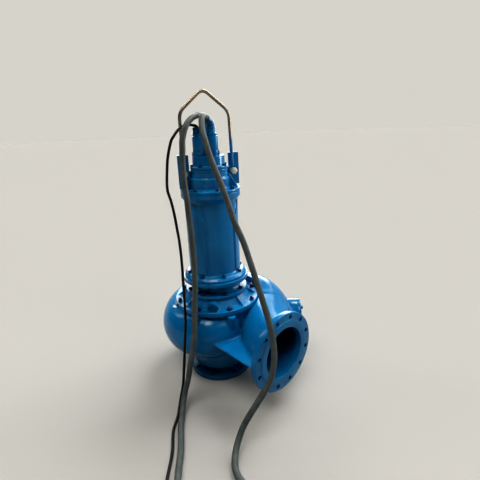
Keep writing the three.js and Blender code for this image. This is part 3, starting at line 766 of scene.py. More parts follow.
@dataclass
class Volute:
    """Spiral casing with its outlet, suction foot, lugs and clean-out stub.

    azimuths and outers say how far the spiral reaches at each azimuth, crown_azimuths and crowns
    how high its top stands over mid_z. A pair in halves or heights is for its start and its end.
    """

    mid_z: float = 0.290
    wall: float = 0.016
    azimuths: Row = (-10, -24, -33, -50, -90, -128, -180, -270, -320)
    outers: Row = (0.228, 0.242, 0.253, 0.271, 0.293, 0.309, 0.333, 0.386, 0.417)
    halves: Pair = (0.093, 0.136)
    heights: Pair = (0.120, 0.141)
    crown_azimuths: Row = (-10, -50, -90, -150, -200, -250, -290, -320)
    crowns: Row = (0.120, 0.123, 0.127, 0.146, 0.172, 0.188, 0.185, 0.160)
    evening: int = 9
    core: float = 0.120
    nozzle: float = 0.141
    handle: float = 0.110
    overlap: float = 0.008
    neck: float = 0.204
    neck_top: float = 0.4167
    seat: float = 0.176
    cone: Pairs = ((0.122, 0.0265), (0.126, 0.040), (0.152, 0.066), (0.172, 0.110), (0.214, 0.190))
    suction: float = 0.100
    throat: float = 0.060
    inlet: float = 0.140
    root: float = 0.150
    rib_edge: float = -0.192
    rib_half: float = 0.007
    lugs: int = 8
    lug_az: float = 22.5
    lug_half: float = 0.020
    lug_levels: Pairs = ((-0.090, 0.230), (-0.030, 0.250), (0.0, 0.250))
    lug_root: float = 0.190
    port_az: float = 45.0
    port_z: float = 0.303
    port: float = 0.090
    port_reach: float = 0.440
    port_root: float = 0.372
    port_bolts: int = 4
    port_first: float = 34.0
    port_thick: float = 0.016
    sunk: float = 0.0015
    pocket: float = 0.230
    pocket_deep: float = 0.080
    fillet: float = 0.012
    fillet_long: float = 0.026
    face: float = 0.480
    flange_thick: float = 0.028
    flange: float = 0.1975
    raised: float = 0.160
    raise_by: float = 0.003
    bore: float = 0.125
    bolt_circle: float = 0.175
    bolt_hole: float = 0.011
    bolts: int = 12
    ring: float = 0.170
    ring_top: float = 0.026
    ring_circle: float = 0.1475
    ring_bolts: int = 8
    ring_first: float = 33.0
    skin_grid: tuple[float, int] = (0.0052, 5)
    passage_grid: tuple[float, int] = (0.007, 8)

    @property
    def back(self) -> float:
        """Distance from the shaft to the back of the discharge flange."""
        return self.face - self.raise_by - self.flange_thick

    @property
    def outlet_place(self) -> np.ndarray:
        """Matrix that lays a turned piece along the outlet."""
        return placed(0, (0, 0, self.mid_z), 90)

    @property
    def port_place(self) -> np.ndarray:
        """Matrix that lays a turned piece along the clean-out stub."""
        return placed(self.port_az, (0, 0, self.port_z), 90)

    @property
    def lug_places(self) -> list[np.ndarray]:
        """Matrices that turn a lug to each of its places."""
        return [placed(self.lug_az + 360 / self.lugs * i) for i in range(self.lugs)]

    def spiral(self, wall: float, steps: int = 120, around: int = 33) -> Shell:
        """Skin the spiral: flat at the core, two quarters of an ellipse outside.

        With a running from -90 to 90 degrees, a section's outer points are
        r = centre + half cos a and z = height sin a, and centre = outer - half. On the casing the
        upper quarter takes the crown's height in place of the height. The outer radius and the
        crown are read from their tables and are then averaged over a few steps.

        Args:
            wall: how far in from the casing's skin it lies.
            steps: sections along the spiral.
            around: points on a section's outside.

        Returns:
            The capped spiral.
        """
        share = np.linspace(0, 1, steps)[:, None]
        azimuth = self.azimuths[0] + (self.azimuths[-1] - self.azimuths[0]) * share
        half = self.halves[0] + (self.halves[1] - self.halves[0]) * share
        height = self.heights[0] + (self.heights[1] - self.heights[0]) * share - wall

        def evened(stops: Row, values: Row) -> np.ndarray:
            """Read a table at every azimuth and average it over a few steps."""
            read = np.pad(np.interp(-azimuth[:, 0], -np.array(stops), values), self.evening // 2, "edge")
            return np.convolve(read, np.ones(self.evening) / self.evening, "valid")[:, None]

        outer = evened(self.azimuths, self.outers)
        crown = height if wall else evened(self.crown_azimuths, self.crowns)
        a = np.radians(np.linspace(-90, 90, around))
        core = np.full_like(share, self.core - wall)
        r = np.hstack([core, outer - half + (half - wall) * np.cos(a), core])
        z = np.hstack([-height, np.where(a > 0, crown, height) * np.sin(a), crown])
        return skin(polar(r, azimuth, self.mid_z + z))

    def bend(self, wall: float, end: float, steps: int = 24, around: int = 64) -> Shell:
        """Skin the outlet bend: ellipses across a cubic Bezier line from the spiral to the flange.

        The casing's upper half starts at the crown's height and comes down to the nozzle's.

        Args:
            wall: how far in from the casing's skin it lies.
            end: how far from the shaft it ends.
            steps: sections along the bend.
            around: points on a section.

        Returns:
            The capped bend.
        """
        heading = polar(1.0, self.azimuths[-1] - 90)
        middle = polar(self.outers[-1] - self.halves[1], self.azimuths[-1], self.mid_z)
        start = middle - self.overlap * heading
        finish = np.array([end, 0, self.mid_z])
        control = [start, start + self.handle * heading, finish - [self.handle, 0, 0], finish]
        s = np.linspace(0, 1, steps)[:, None]
        weights = [(1 - s) ** 3, 3 * s * (1 - s) ** 2, 3 * s ** 2 * (1 - s), s ** 3]
        path = sum(w * p for w, p in zip(weights, control))
        tangent = np.gradient(path, axis=0)
        tangent[0], tangent[-1] = heading, [1, 0, 0]
        across = np.cross(tangent, [0, 0, 1])
        across /= np.linalg.norm(across, axis=1, keepdims=True)
        half = (self.halves[1] + (self.nozzle - self.halves[1]) * s - wall)[:, None]
        first = self.nozzle if wall else self.crowns[-1]
        crown = (first + (self.nozzle - first) * s - wall)[:, None]
        a = np.linspace(0, 2 * np.pi, around, endpoint=False)[None, :, None]
        height = np.where(np.sin(a) > 0, crown, self.nozzle - wall)
        return skin(path[:, None] + half * np.cos(a) * across[:, None] + height * np.sin(a) * [0, 0, 1.0])

    def lug(self, root: float, spare: float = 0.0) -> Shell:
        """Skin one stud lug: a half-round nose on a block, drawn in below.

        Args:
            root: distance from the shaft at which it starts.
            spare: how much larger than its true size the lug is all round.

        Returns:
            The lug, standing towards azimuth 0.
        """
        half = self.lug_half + spare
        nose = polar(half, np.linspace(-90, 90, 25))[:, :2]
        rings = [np.concatenate([[[root, half], [root, -half]], nose + [reach - self.lug_half, 0]])
                 for _, reach in self.lug_levels]
        heights = [self.neck_top + drop for drop, _ in self.lug_levels]
        heights[-1] += spare
        return layers(rings, heights)

    def outside(self) -> list[Shell]:
        """Shape the casing's outer skin.

        Returns:
            The forms that make it up.
        """
        low = self.cone[-1][1]
        start, end, wide = self.back - self.fillet_long, self.back + self.fillet, self.nozzle + self.fillet
        swell = [[0, start], [self.nozzle, start], [self.nozzle + 0.003, start + self.fillet],
                 [wide, self.back - 0.002], [wide, end], [0, end]]
        return [
            self.spiral(0.0),
            self.bend(0.0, end),
            revolve(barrel(self.neck, low - 0.004, self.neck_top)),
            revolve([[0, self.cone[0][1]], *self.cone, [0, low]]),
            revolve(swell).moved(self.outlet_place),
            revolve(barrel(self.port - self.sunk, 0.2, self.port_reach - 0.006), 64).moved(self.port_place),
            block((self.root, self.rib_edge, self.mid_z - self.rib_half),
                  (self.back + 0.006, 0, self.mid_z + self.rib_half)),
            repeated(self.lug(self.root, -self.sunk), self.lug_places),
        ]

    def inside(self, wall: float) -> list[Shell]:
        """Return the forms that make up the water passage, a wall in from the casing's skin."""
        low, under, over = self.cone[-1][1], -2 * PAST, self.mid_z + PAST
        return [
            self.spiral(wall),
            self.bend(wall, self.face),
            revolve(barrel(self.seat, self.mid_z, self.neck_top + 2 * PAST)),
            revolve([[0, under], [self.suction, under], [self.suction, self.throat], [self.inlet, low],
                     [self.inlet, over], [0, over]]),
        ]

    def casing(self) -> None:
        """Make the casing: its outer forms fused, its passage taken out, its top cut flat."""
        body = fused("volute_shell", self.outside(), *self.skin_grid)
        hollowed(body, fused("passage", self.inside(self.wall), *self.passage_grid))
        top = barrel(self.pocket, self.neck_top, self.neck_top + self.pocket_deep)
        hollowed(body, mesh_object("pocket", [revolve(top)]))
        dress(body, CASTING, ["volute_casing"], 70.0)

    def crisp_forms(self) -> None:
        """Make the machined stub and the lugs' sharp forms, which stand in the fused casing's fillets."""
        stub = revolve(soften(barrel(self.port, self.port_root, self.port_reach), 0.0012), 96)
        add_piece("port_stub", [stub.moved(self.port_place)], PLATE)
        lugs = mesh_object("stud_lugs", [repeated(self.lug(self.lug_root), self.lug_places)])
        hollowed(lugs, fused("clearance", self.inside(self.wall - 0.006), *self.passage_grid))
        dress(lugs, CASTING)

    def drilled(self, name: str, body: Shell, levels: Pair, places: Sequence[np.ndarray],
                turn: np.ndarray, finish: Finish, node: str) -> None:
        """Make a flange and drill it through.

        Args:
            name: the piece's name.
            body: the flange, turned about Z.
            levels: its lowest and highest z.
            places: the holes' places.
            turn: the matrix that lays the flange and its holes where they belong.
            finish: its finish.
            node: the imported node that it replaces.
        """
        flange = mesh_object(name, [body.moved(turn)])
        drill = revolve(barrel(self.bolt_hole, levels[0] - PAST, levels[1] + PAST), 28)
        hollowed(flange, mesh_object("drill", [repeated(drill, places).moved(turn)]))
        dress(flange, finish, [node])

    def flanges(self) -> None:
        """Make the discharge flange, with its raised face, and the suction flange under the pump."""
        front = self.face - self.raise_by
        profile = [[self.bore, self.back], [self.flange, self.back], [self.flange, front],
                   [self.raised, front], [self.raised, self.face], [self.bore, self.face]]
        self.drilled("outlet_flange", revolve(soften(profile, 0.003, closed=True), 192, closed=True),
                     (self.back, self.face), circle(self.bolts, self.bolt_circle, 0, 180 / self.bolts),
                     self.outlet_place, PLATE, "discharge_flange")
        foot = soften([[self.suction, 0], [self.ring, 0], [self.ring, self.ring_top],
                       [self.suction, self.ring_top]], 0.002, closed=True)
        # The suction foot takes the darker enamel as painted shade, for the shadow under the pump.
        self.drilled("suction_foot", revolve(foot, closed=True), (0, self.ring_top),
                     circle(self.ring_bolts, self.ring_circle, 0, self.ring_first),
                     placed(), SHADED, "suction_ring")

    def port_cover(self) -> None:
        """Make the round clean-out cover, a little dished, with its bolts."""
        near = self.port_reach + GAP
        far, dish, rim = near + self.port_thick, near + 0.013, self.port - 0.026
        profile = soften([[0, near], [self.port, near], [self.port, far], [rim, far],
                          [rim - 0.002, dish], [0, dish]])
        add_piece("port_cover", [revolve(profile, 96).moved(self.port_place)], PLATE, ["clean_out_cover"])
        places = circle(self.port_bolts, self.port - 0.014, far - 0.0005, self.port_first)
        add_bolts("port_bolts", hex_bolt(across=0.017, height=0.011),
                  [self.port_place @ place for place in places])

    def build(self) -> None:
        """Make the whole sub-assembly."""
        self.casing()
        self.crisp_forms()
        self.flanges()
        self.port_cover()


@dataclass
class Screw:
    """Screw impeller: one blade wound on a tapering hub."""

    hub: Pairs = ((0, 0.070), (0.026, 0.084), (0.046, 0.180), (0.062, 0.300), (0.062, 0.405), (0, 0.405))
    turns: float = 430.0
    low: float = 0.080
    rise: float = 0.220
    root: float = 0.014
    tips: Pair = (0.088, 0.150)
    tip_round: float = 0.002
    thick: Pair = (0.009, 0.0045)
    grid: tuple[float, int] = (0.0035, 4)

    def build(self) -> None:
        """Make the screw: a helix whose tip radius grows with the power 1.5 of its share."""
        share = np.linspace(0, 1, 140)
        z = self.low + self.rise * share
        tip = self.tips[0] + (self.tips[1] - self.tips[0]) * share ** 1.5
        root_half, tip_half = self.thick
        corners = [(self.root, -root_half), (tip, -tip_half), (tip + self.tip_round, 0.0), (tip, tip_half),
                   (self.root, root_half)]
        blade = skin(np.stack([polar(r, -self.turns * share, z + dz) for r, dz in corners], axis=1))
        screw = fused("screw_blade", [revolve(self.hub, 64), blade], *self.grid)
        dress(screw, IRON, ["impeller"])


@dataclass
class Cover:
    """Volute cover: a wide flange and a cone with gussets, a hood and a ring of studs."""

    low: float = 0.417
    thick: float = 0.0255
    rim: float = 0.226
    cone_foot: float = 0.183
    top_r: float = 0.158
    top: float = 0.484
    spigot: float = 0.1757
    spigot_deep: float = 0.0117
    sunk: float = 0.02
    gussets: int = 8
    gusset_thick: float = 0.010
    gusset_reach: float = 0.213
    hood_az: float = -46.5
    hood: float = 0.031
    hood_wall: float = 0.007
    hood_z: float = 0.449
    hood_reach: float = 0.196
    studs: int = 8
    stud_az: float = 22.5
    stud_r: float = 0.206
    grid: tuple[float, int] = (0.0034, 3)

    @property
    def deck(self) -> float:
        """Height of the flange's upper face."""
        return self.low + self.thick

    def gusset(self) -> Shell:
        """Skin one gusset: a sloping web from the cone's top to the flange.

        Returns:
            The web, standing towards azimuth 0.
        """
        inner, reach, half = self.top_r - self.sunk, self.gusset_reach, self.gusset_thick / 2
        outline = [(inner, self.deck - PAST), (reach, self.deck - PAST), (reach, self.deck + 0.002),
                   (self.top_r + 0.006, self.top - 0.004), (inner, self.top - 0.004)]
        return web(outline, -half, half)

    def build(self) -> None:
        """Make the cover, fused so that its webs have cast fillets, and its studs."""
        under, root, reach = self.low - self.spigot_deep, self.top_r - self.sunk, self.hood_reach
        body = [[0, under], [self.spigot, under], [self.spigot, self.low],
                [self.rim, self.low], [self.rim, self.deck], [self.cone_foot, self.deck],
                [self.top_r, self.top - 0.010], [self.top_r, self.top], [0, self.top]]
        hole, floor = self.hood - self.hood_wall, reach - self.hood_wall
        pocket = revolve(barrel(hole, floor, reach + self.sunk), SMALL_SIDES)
        facing = placed(self.hood_az, (0, 0, self.hood_z), 90)
        skirt = block((root, -self.hood, self.deck - PAST), (reach, self.hood, self.hood_z))
        cover = fused("cover_casting", [
            revolve(soften(body, 0.002)),
            repeated(self.gusset(), [placed(360 / self.gussets * i) for i in range(self.gussets - 1)]),
            revolve(barrel(self.hood, root, reach), 48).moved(facing),
            skirt.moved(placed(self.hood_az)),
        ], *self.grid)
        hollowed(cover, mesh_object("pocket", [pocket.moved(facing)]))
        dress(cover, ROUGH, ["volute_cover"])
        add_bolts("cover_nuts", hex_bolt(across=0.019, height=0.012, washer=0.0155, stud=0.006),
                  circle(self.studs, self.stud_r, self.deck, self.stud_az))


@dataclass
class SealHousing:
    """Oil chamber between the volute cover and the motor."""

    low: float = 0.4843
    flange: float = 0.165
    flange_top: float = 0.498
    waist: float = 0.119
    top: float = 0.5717
    rim: float = 0.173
    rim_thick: float = 0.020
    bolts: int = 8
    bolt_az: float = 22.5
    bolt_r: float = 0.145
    plug_az: float = -62.0
    plug_z: float = 0.524

    def build(self) -> None:
        """Make the turned housing, the bolts of its lower flange and its oil plug."""
        under = self.top - self.rim_thick
        profile = [[0, self.low], [self.flange, self.low], [self.flange, self.flange_top],
                   [self.waist + 0.012, self.flange_top], [self.waist, self.flange_top + 0.012],
                   [self.waist, under - 0.010], [self.waist + 0.010, under], [self.rim, under],
                   [self.rim, self.top], [0, self.top]]
        add_piece("seal_housing", [revolve(soften(profile, 0.002))], CASTING, ["oil_chamber"])
        places = circle(self.bolts, self.bolt_r, self.flange_top, self.bolt_az)
        add_bolts("seal_housing_bolts", hex_bolt(across=0.017, height=0.010, washer=0.013), places)
        seat = polar(self.waist - 0.002, self.plug_az, self.plug_z)
        plug = hex_bolt(across=0.022, height=0.010, washer=0.016)
        add_bolts("oil_plug", plug, [placed(self.plug_az, seat, 90)])


@dataclass
class Motor:
    """Round motor casing with two raised side pads between end flanges."""

    low: float = 0.572
    foot: float = 0.164
    foot_top: float = 0.581
    ledge: float = 0.151
    ledge_z: float = 0.594
    panel: float = 0.128
    pad: float = 0.1345
    collar_z: float = 0.984
    top: float = 1.0157
    top_r: float = 0.150
    pad_az: float = 69.0
    pad_half: float = 53.5
    pad_half_top: float = 30.0
    slope: Pair = (0.888, 0.946)
    pad_edge: float = 0.004
    rows: int = 150
    columns: int = 288
    bolts: int = 8
    bolt_r: float = 0.142
    bolt_az: float = 22.5

    def shell(self) -> Shell:
        """Skin the casing round its profile.

        Along the barrel the radius is panel + (pad - panel) * step, where step rises smoothly from
        0 to 1 over the pad's edge, measured round the barrel from the pad's side line. The side
        line runs upright and then slopes in near the top.

        Returns:
            The closed casing.
        """
        rows = np.linspace(self.ledge_z + 0.012, self.collar_z - 0.018, self.rows)
        below = soften([[0, self.low], [self.foot, self.low], [self.foot, self.foot_top],
                        [self.ledge, self.ledge_z], [self.panel + 0.006, self.ledge_z + 0.003],
                        [self.panel, rows[0]]], 0.003)[:-1]
        above = soften([[self.panel, rows[-1]], [self.panel + 0.010, self.collar_z - 0.004],
                        [self.top_r - 0.004, self.collar_z + 0.002], [self.top_r, self.collar_z + 0.010],
                        [self.top_r, self.top], [0, self.top]], 0.002)[1:]
        profile = np.concatenate([below, np.column_stack([np.full(self.rows, self.panel), rows]), above])
        radius, height = profile[:, :1], profile[:, 1:]
        azimuth = np.linspace(0, 360, self.columns, endpoint=False)[None]
        half = np.interp(height, self.slope, (self.pad_half, self.pad_half_top))
        away = np.abs((azimuth - self.pad_az + 90) % 180 - 90)
        step = ease(0.5 + np.radians(half - away) * self.pad / self.pad_edge)
        on_barrel = np.abs(radius - self.panel) < 0.0005
        radius = np.where(on_barrel, self.panel + (self.pad - self.panel) * step, radius)
        return skin(polar(radius, azimuth, height))

    def build(self) -> None:
        """Make the casing and its bolts."""
        add_piece("motor_shell", [self.shell()], CASTING, ["motor_casing"])
        places = circle(self.bolts, self.bolt_r, self.ledge_z - 0.001, self.bolt_az)
        add_bolts("motor_foot_bolts", hex_bolt(across=0.018, height=0.011, washer=0.013), places)


@dataclass
class Crown:
    """Upper cover with the neck, the box flange, two ribs and one ear under each bracket."""

    low: float = 1.016
    flange: float = 0.1506
    flange_top: float = 1.0297
    step_r: float = 0.0976
    step_z: float = 1.080
    neck: float = 0.090
    top: float = 1.1257
    box: float = 0.093
    lid_flange_top: float = 1.139
    lid: float = 0.080
    lid_top: float = 1.188
    lid_screws: int = 8
    lid_first: float = 22.5
    bail_az: float = 69.0
    pin_z: float = 1.103
    pins: Pair = (-0.127, 0.131)
    ear_near: float = 0.0206
    ear_thick: float = 0.026
    ear_root: float = 0.070
    ear_margin: float = 0.020
    ear_top: float = 1.132
    bolt_r: float = 0.128
    bolt_az: Row = (-73.0, -23.0, 18.0, 62.0, 107.0, 157.0, 200.0, 245.0)
    rib_az: Pair = (46.0, -134.0)
    rib_half: float = 0.007
    grid: tuple[float, int] = (0.0026, 3)

    def ear(self, pin: float) -> Shell:
        """Skin the ear that carries one bracket: a web from the neck out under the bolt.

        Args:
            pin: how far across the pump the bolt stands.

        Returns:
            The web.
        """
        outer, foot, shoulder = abs(pin) + self.ear_margin, self.flange_top - 0.006, self.ear_top - 0.006
        outline = soften([
            [self.ear_root, foot], [outer - 0.002, foot], [outer, self.pin_z], [outer - 0.008, shoulder],
            [outer - self.ear_margin, self.ear_top], [outer - 1.8 * self.ear_margin, shoulder],
            [self.ear_root, self.step_z + 0.020]], 0.006, closed=True)
        outline[:, 0] *= math.copysign(1.0, pin)
        return web(outline, self.ear_near, self.ear_near + self.ear_thick).moved(placed(self.bail_az))

    def rib(self) -> Shell:
        """Skin one flared rib: a web that slopes from the neck down to the flange's edge.

        Returns:
            The web, standing towards azimuth 0.
        """
        root, edge, foot = self.neck - 0.010, self.flange - 0.010, self.flange_top - 0.004
        outline = soften([
            [root, foot], [edge, foot], [edge - 0.002, self.flange_top + 0.004],
            [self.neck + 0.008, self.step_z + 0.018], [root, self.step_z + 0.020]], 0.003, closed=True)
        return web(outline, -self.rib_half, self.rib_half)

    def build(self) -> None:
        """Make the crown, the lid and their bolts."""
        body = soften([
            [0, self.low], [self.flange, self.low], [self.flange, self.flange_top],
            [self.step_r + 0.005, self.flange_top], [self.step_r, self.flange_top + 0.005],
            [self.step_r, self.step_z], [self.neck, self.step_z + 0.006], [self.neck, self.top - 0.014],
            [self.box, self.top - 0.011], [self.box, self.top], [0, self.top]], 0.002)
        ribs = repeated(self.rib(), [placed(a) for a in self.rib_az])
        ears = [self.ear(pin) for pin in self.pins]
        crown = fused("crown_casting", [revolve(body), *ears, ribs], *self.grid)
        dress(crown, CASTING, ["upper_cover"])
        low, deck = self.top + GAP, self.lid_flange_top
        lid = soften([[0, low], [self.box, low], [self.box, deck], [self.lid + 0.004, deck],
                      [self.lid, deck + 0.004], [self.lid - 0.0015, self.lid_top], [0, self.lid_top]], 0.0025)
        add_piece("box_lid", [revolve(lid)], CASTING, ["junction_lid"])
        places = [placed(a, polar(self.bolt_r, a, self.flange_top)) for a in self.bolt_az]
        add_bolts("crown_bolts", hex_bolt(across=0.016, height=0.010, washer=0.012), places)
        add_bolts("lid_screws", hex_bolt(across=0.012, height=0.008, washer=0.009),
                  circle(self.lid_screws, self.box - 0.0065, deck, self.lid_first))


@dataclass
class Bail:
    """Lifting bail of round bar with a bracket plate and a bolt at each foot."""

    azimuth: float = 69.0
    rod: float = 0.008
    corners: Pairs = ((-0.125, 1.130), (-0.127, 1.389), (-0.008, 1.491), (0.118, 1.389), (0.125, 1.130))
    bend: float = 0.034
    plates: tuple[tuple[str, float, float], ...] = (("left", -0.125, -0.127), ("right", 0.136, 0.131))
    width: float = 0.054
    thick: float = 0.012
    base: float = 1.036
    top: float = 1.195
    pin_z: float = 1.103

    def build(self) -> None:
        """Make the bail, its brackets and their bolts."""
        line = soften(self.corners, self.bend, 12)
        dense = np.linspace(0, 1, 8)[:, None]
        legs = [line[:1] + (line[1:2] - line[:1]) * dense[:-1], line[1:-1],
                line[-2:-1] + (line[-1:] - line[-2:-1]) * dense[1:]]
        u, z = np.concatenate(legs).T
        turn, near, half = placed(self.azimuth), self.rod + GAP, self.width / 2
        bar = sweep(np.column_stack([u, np.zeros_like(u), z]), self.rod, (0, 1, 0))
        add_piece("bail_bar", [bar.moved(turn)], BAR, ["lifting_bail"])
        for name, centre, pin in self.plates:
            outline = soften([[centre - half, self.base], [centre + half, self.base],
                              [centre + half, self.top], [centre - half, self.top]], 0.003, closed=True)
            plate = prism(outline, -near - self.thick, -near, 0.0015).moved(raised())
            add_piece(f"{name}_bracket_plate", [plate.moved(turn)], PLATE, [f"{name}_bracket"])
            head = hex_bolt(across=0.032, height=0.012, washer=0.017)
            facing = raised((pin, near, self.pin_z))
            add_piece(f"{name}_bolt_head", [head.moved(facing).moved(turn)], PLATED,
                      [f"{name}_bracket_bolt"])


class FarEnd(Enum):
    """What a cable ends in."""

    BARE = "bare"


@dataclass
class Cable:
    """One cable: its gland, its sleeve, its free stretch, its coil and its end cap."""

    name: str
    radius: float
    sheath: Rubber
    entry: Pair
    lugs: Pair
    collar: float
    tip: Spot
    sleeve: Pair
    route: tuple[Spot, ...]
    coil_centre: Pair
    coil_mean: float
    coil_wide: int
    coil_high: int
    coil_meets: float
    coil_runs: int
    per_turn: int = 72
    length: float = 10.0
    arc: float = 1.3
    slack: float = 1.03
    foot_low: float = 1.1883
    foot_top: float = 1.211
    lug_low: float = 0.004
    gland: float = 0.030
    body_top: float = 1.281
    nut: float = 0.028
    nut_top: float = 1.290
    top: float = 1.320
    thread: Pair = (0.0016, 0.0055)
    bead: Pair = (0.003, 0.41)
    cap_length: float = 0.060
    cap_thick: float = 0.0015
    knee: float = 0.58
    mouth: float = 0.0
    mouth_r: float = 0.011

    @property
    def heavy(self) -> bool:
        """Whether it is a power cable."""
        return self.sheath is POWER_SHEATH

    @property
    def step(self) -> float:
        """Distance between the points of the drawn line."""
        return 0.6 * self.radius

    @property
    def cap_axis(self) -> float:
        """Height of the cap's axis, on top of the coil."""
        return (2 * self.coil_high + 1) * self.radius + 0.002 + GAP

    def sleeve_line(self, count: int = 30) -> np.ndarray:
        """Work out the sleeve's line: (1-s)^2 base + 2 s (1-s) knee + s^2 tip.

        Args:
            count: how many points it has.

        Returns:
            Its points.
        """
        base = np.array([*self.entry, self.top - self.mouth + GAP])
        tip = np.array(self.tip)
        knee = np.array([*self.entry, base[2] + self.knee * (tip[2] - base[2])])
        s = np.linspace(0, 1, count)[:, None]
        return (1 - s) ** 2 * base + 2 * s * (1 - s) * knee + s ** 2 * tip

    def coil_line(self, end: float = math.inf) -> np.ndarray:
        """Return the coil's line, wound in layers of turns that lie a cable's width apart.

        A turn keeps to its place across the coil. Over one arc it shifts to the next place, or
        climbs to the next layer where the layer is full. Each kind of step starts one arc earlier
        than the kind before it, so that it clears the turn below. With S(t) = t^2 (3 - 2t), place
        and layer are sums of S over all steps, and
        r = mean + (wide - 1 - 2 place) slack radius, z = (1 + 2 layer) radius.

        Args:
            end: angle at which the cable stops. One arc before its cap it climbs onto the coil.

        Returns:
            Points from where the cable meets the coil.
        """
        steps = [(0.0, 1, 0)]
        turn, lag, way = 0, 0, 1
        for layer in range(self.coil_high):
            for place in range(self.coil_wide - 1):
                turn += 1
                lag += layer > 0 and place == 0
                steps.append((2 * np.pi * turn - lag * self.arc, way, 0))
            turn += 1
            lag += 1
            steps.append((2 * np.pi * turn - lag * self.arc, 0, 1))
            way = -way
        starts, across, up = np.array(steps).T
        angle = np.arange(0, min(2 * np.pi * turn, end + 0.5), 2 * np.pi / self.per_turn)
        eased = ease((angle[:, None] - starts) / self.arc)
        place, layer = eased @ across - 1, eased @ up
        r = self.coil_mean + (self.coil_wide - 1 - 2 * place) * self.slack * self.radius
        z = self.radius * (1 + 2 * layer) + 0.0002
        last = ease((angle - end + self.cap_length / self.coil_mean) / self.arc + 1)
        z += (self.cap_axis - z) * last
        azimuth = self.coil_meets + self.coil_runs * np.degrees(angle)
        return polar(r, azimuth, z) + [*self.coil_centre, 0]

    def line(self) -> np.ndarray:
        """Work out the cable's whole line, cut at its length.

        Returns:
            Its points, evenly spaced from the sleeve to the end.
        """
        sleeve = self.sleeve_line()
        away = sleeve[-1] - sleeve[-2]
        away /= np.linalg.norm(away)
        start = sleeve[-1] + GAP * away
        heading = polar(1.0, self.coil_meets + 90 * self.coil_runs)
        coil = self.coil_line()
        free = spline(np.array([start, start + away * self.radius / 2, *self.route,
                                coil[0] - 3 * self.radius * heading, coil[0]]))
        turned = 2 * np.pi / self.per_turn * np.arange(len(coil))
        end = np.interp(self.length - lengths(free)[-1], lengths(coil), turned)
        whole = np.concatenate([free, self.coil_line(end)[1:]])
        even = np.linspace(0, self.length, int(self.length / self.step))
        return np.column_stack([np.interp(even, lengths(whole), axis) for axis in whole.T])

    def fittings(self) -> None:
        """Make the gland's foot, body and collar, and the rubber sleeve."""
        at, shift = [*self.entry, 0], placed(0, (*self.entry, 0))
        low, top, lug_top = self.foot_low, self.foot_top, self.foot_top - self.lug_low
        foot = revolve(soften(barrel(self.gland, low, top)), SMALL_SIDES).moved(shift)
        lugs = repeated(revolve(soften(barrel(0.010, low, lug_top)), 24),
                        [placed(a, polar(0.026, a) + at) for a in self.lugs])
        add_piece(f"{self.name}_entry_foot", [foot, lugs], CASTING, [f"{self.name}_gland_foot"])
        heads = [placed(a, polar(0.027, a, lug_top) + at) for a in self.lugs]
        add_bolts(f"{self.name}_entry_screws", hex_bolt(across=0.010, height=0.007), heads)
        neck = self.nut - 0.003
        body = soften([
            [0, top + GAP], [self.gland, top + GAP], [self.gland - 0.001, self.body_top - 0.003],
            [neck, self.body_top], [neck, self.body_top + 0.0015], [self.nut, self.body_top + 0.003],
            [self.nut, self.nut_top], [0, self.nut_top]], 0.0012)
        add_piece(f"{self.name}_entry_body", [revolve(body, SMALL_SIDES).moved(shift)], PLATE,
                  [f"{self.name}_gland_body"])
        # The thin cable's collar takes the darker enamel as painted shade; the power cables' collars keep the
        # plain enamel.
        add_piece(f"{self.name}_entry_collar", [self.collar_shell().moved(shift)],
                  PLATE if self.heavy else SHADED, [f"{self.name}_gland_collar"])
        line = self.sleeve_line()
        wide, narrow = self.sleeve
        radii = narrow + (wide - narrow) * np.linspace(1, 0, len(line)) ** 2
        # The power cables' blue sleeves take the darker enamel as painted shade; the thin cable's sleeve is
        # its own black rubber.
        add_piece(f"{self.name}_sleeve", [sweep(line, radii, (1, 0, 0), 32)],
                  SHADED if self.heavy else self.sheath, [f"{self.name}_strain_relief"])

    def collar_shell(self) -> Shell:
        """Turn the collar: threaded on the thin cable's gland, plain with two beads on the others.

        The thread is a cosine of its depth and pitch. A bead stands out where a point is further
        from the collar's middle than a share of its height, and the wall between lies in.

        Returns:
            The collar, standing round the shaft.
        """
        low, high = self.nut_top + GAP, self.top
        z = np.linspace(low + 0.002, high - 0.002, 73)
        if self.heavy:
            out, share = self.bead
            ridge = out - 0.004 * ease((share - np.abs(z - (low + high) / 2) / (high - low)) / 0.03)
        else:
            deep, pitch = self.thread
            ridge = deep * np.cos(2 * np.pi * (z - low) / pitch)
        edge = self.collar - 0.002
        side = np.column_stack([self.collar - 0.0012 + ridge, z])
        floor = high - self.mouth
        return revolve([[0, low], [edge, low], *side, [edge, high], [edge - 0.0015, high],
                        [self.mouth_r, floor], [0, floor]], 64)

    def cord(self) -> None:
        """Make the cable as one curve, and the cap on its end."""
        line = self.line() + SHAFT
        curve = bpy.data.curves.new(f"{self.name}_cord", "CURVE")
        curve.dimensions = "3D"
        curve.bevel_depth = self.radius
        curve.bevel_resolution = 5
        curve.use_fill_caps = True
        strand = curve.splines.new("POLY")
        strand.points.add(len(line) - 1)
        strand.points.foreach_set("co", np.column_stack([line, np.ones(len(line))]).ravel())
        piece = linked(f"{self.name}_cord", curve)
        dress(piece, self.sheath, [f"{self.name}_cable", f"{self.name}_cable_coil"])
        end = line[-1 - int(self.cap_length / self.step):] - SHAFT
        over = np.vstack([end, end[-1] + 0.4 * (end[-1] - end[-2])])
        cap = add_piece(f"{self.name}_end_cap", [sweep(over, self.radius + self.cap_thick, (0, 0, 1))],
                        SHRINK, [f"{self.name}_cable_cap"])


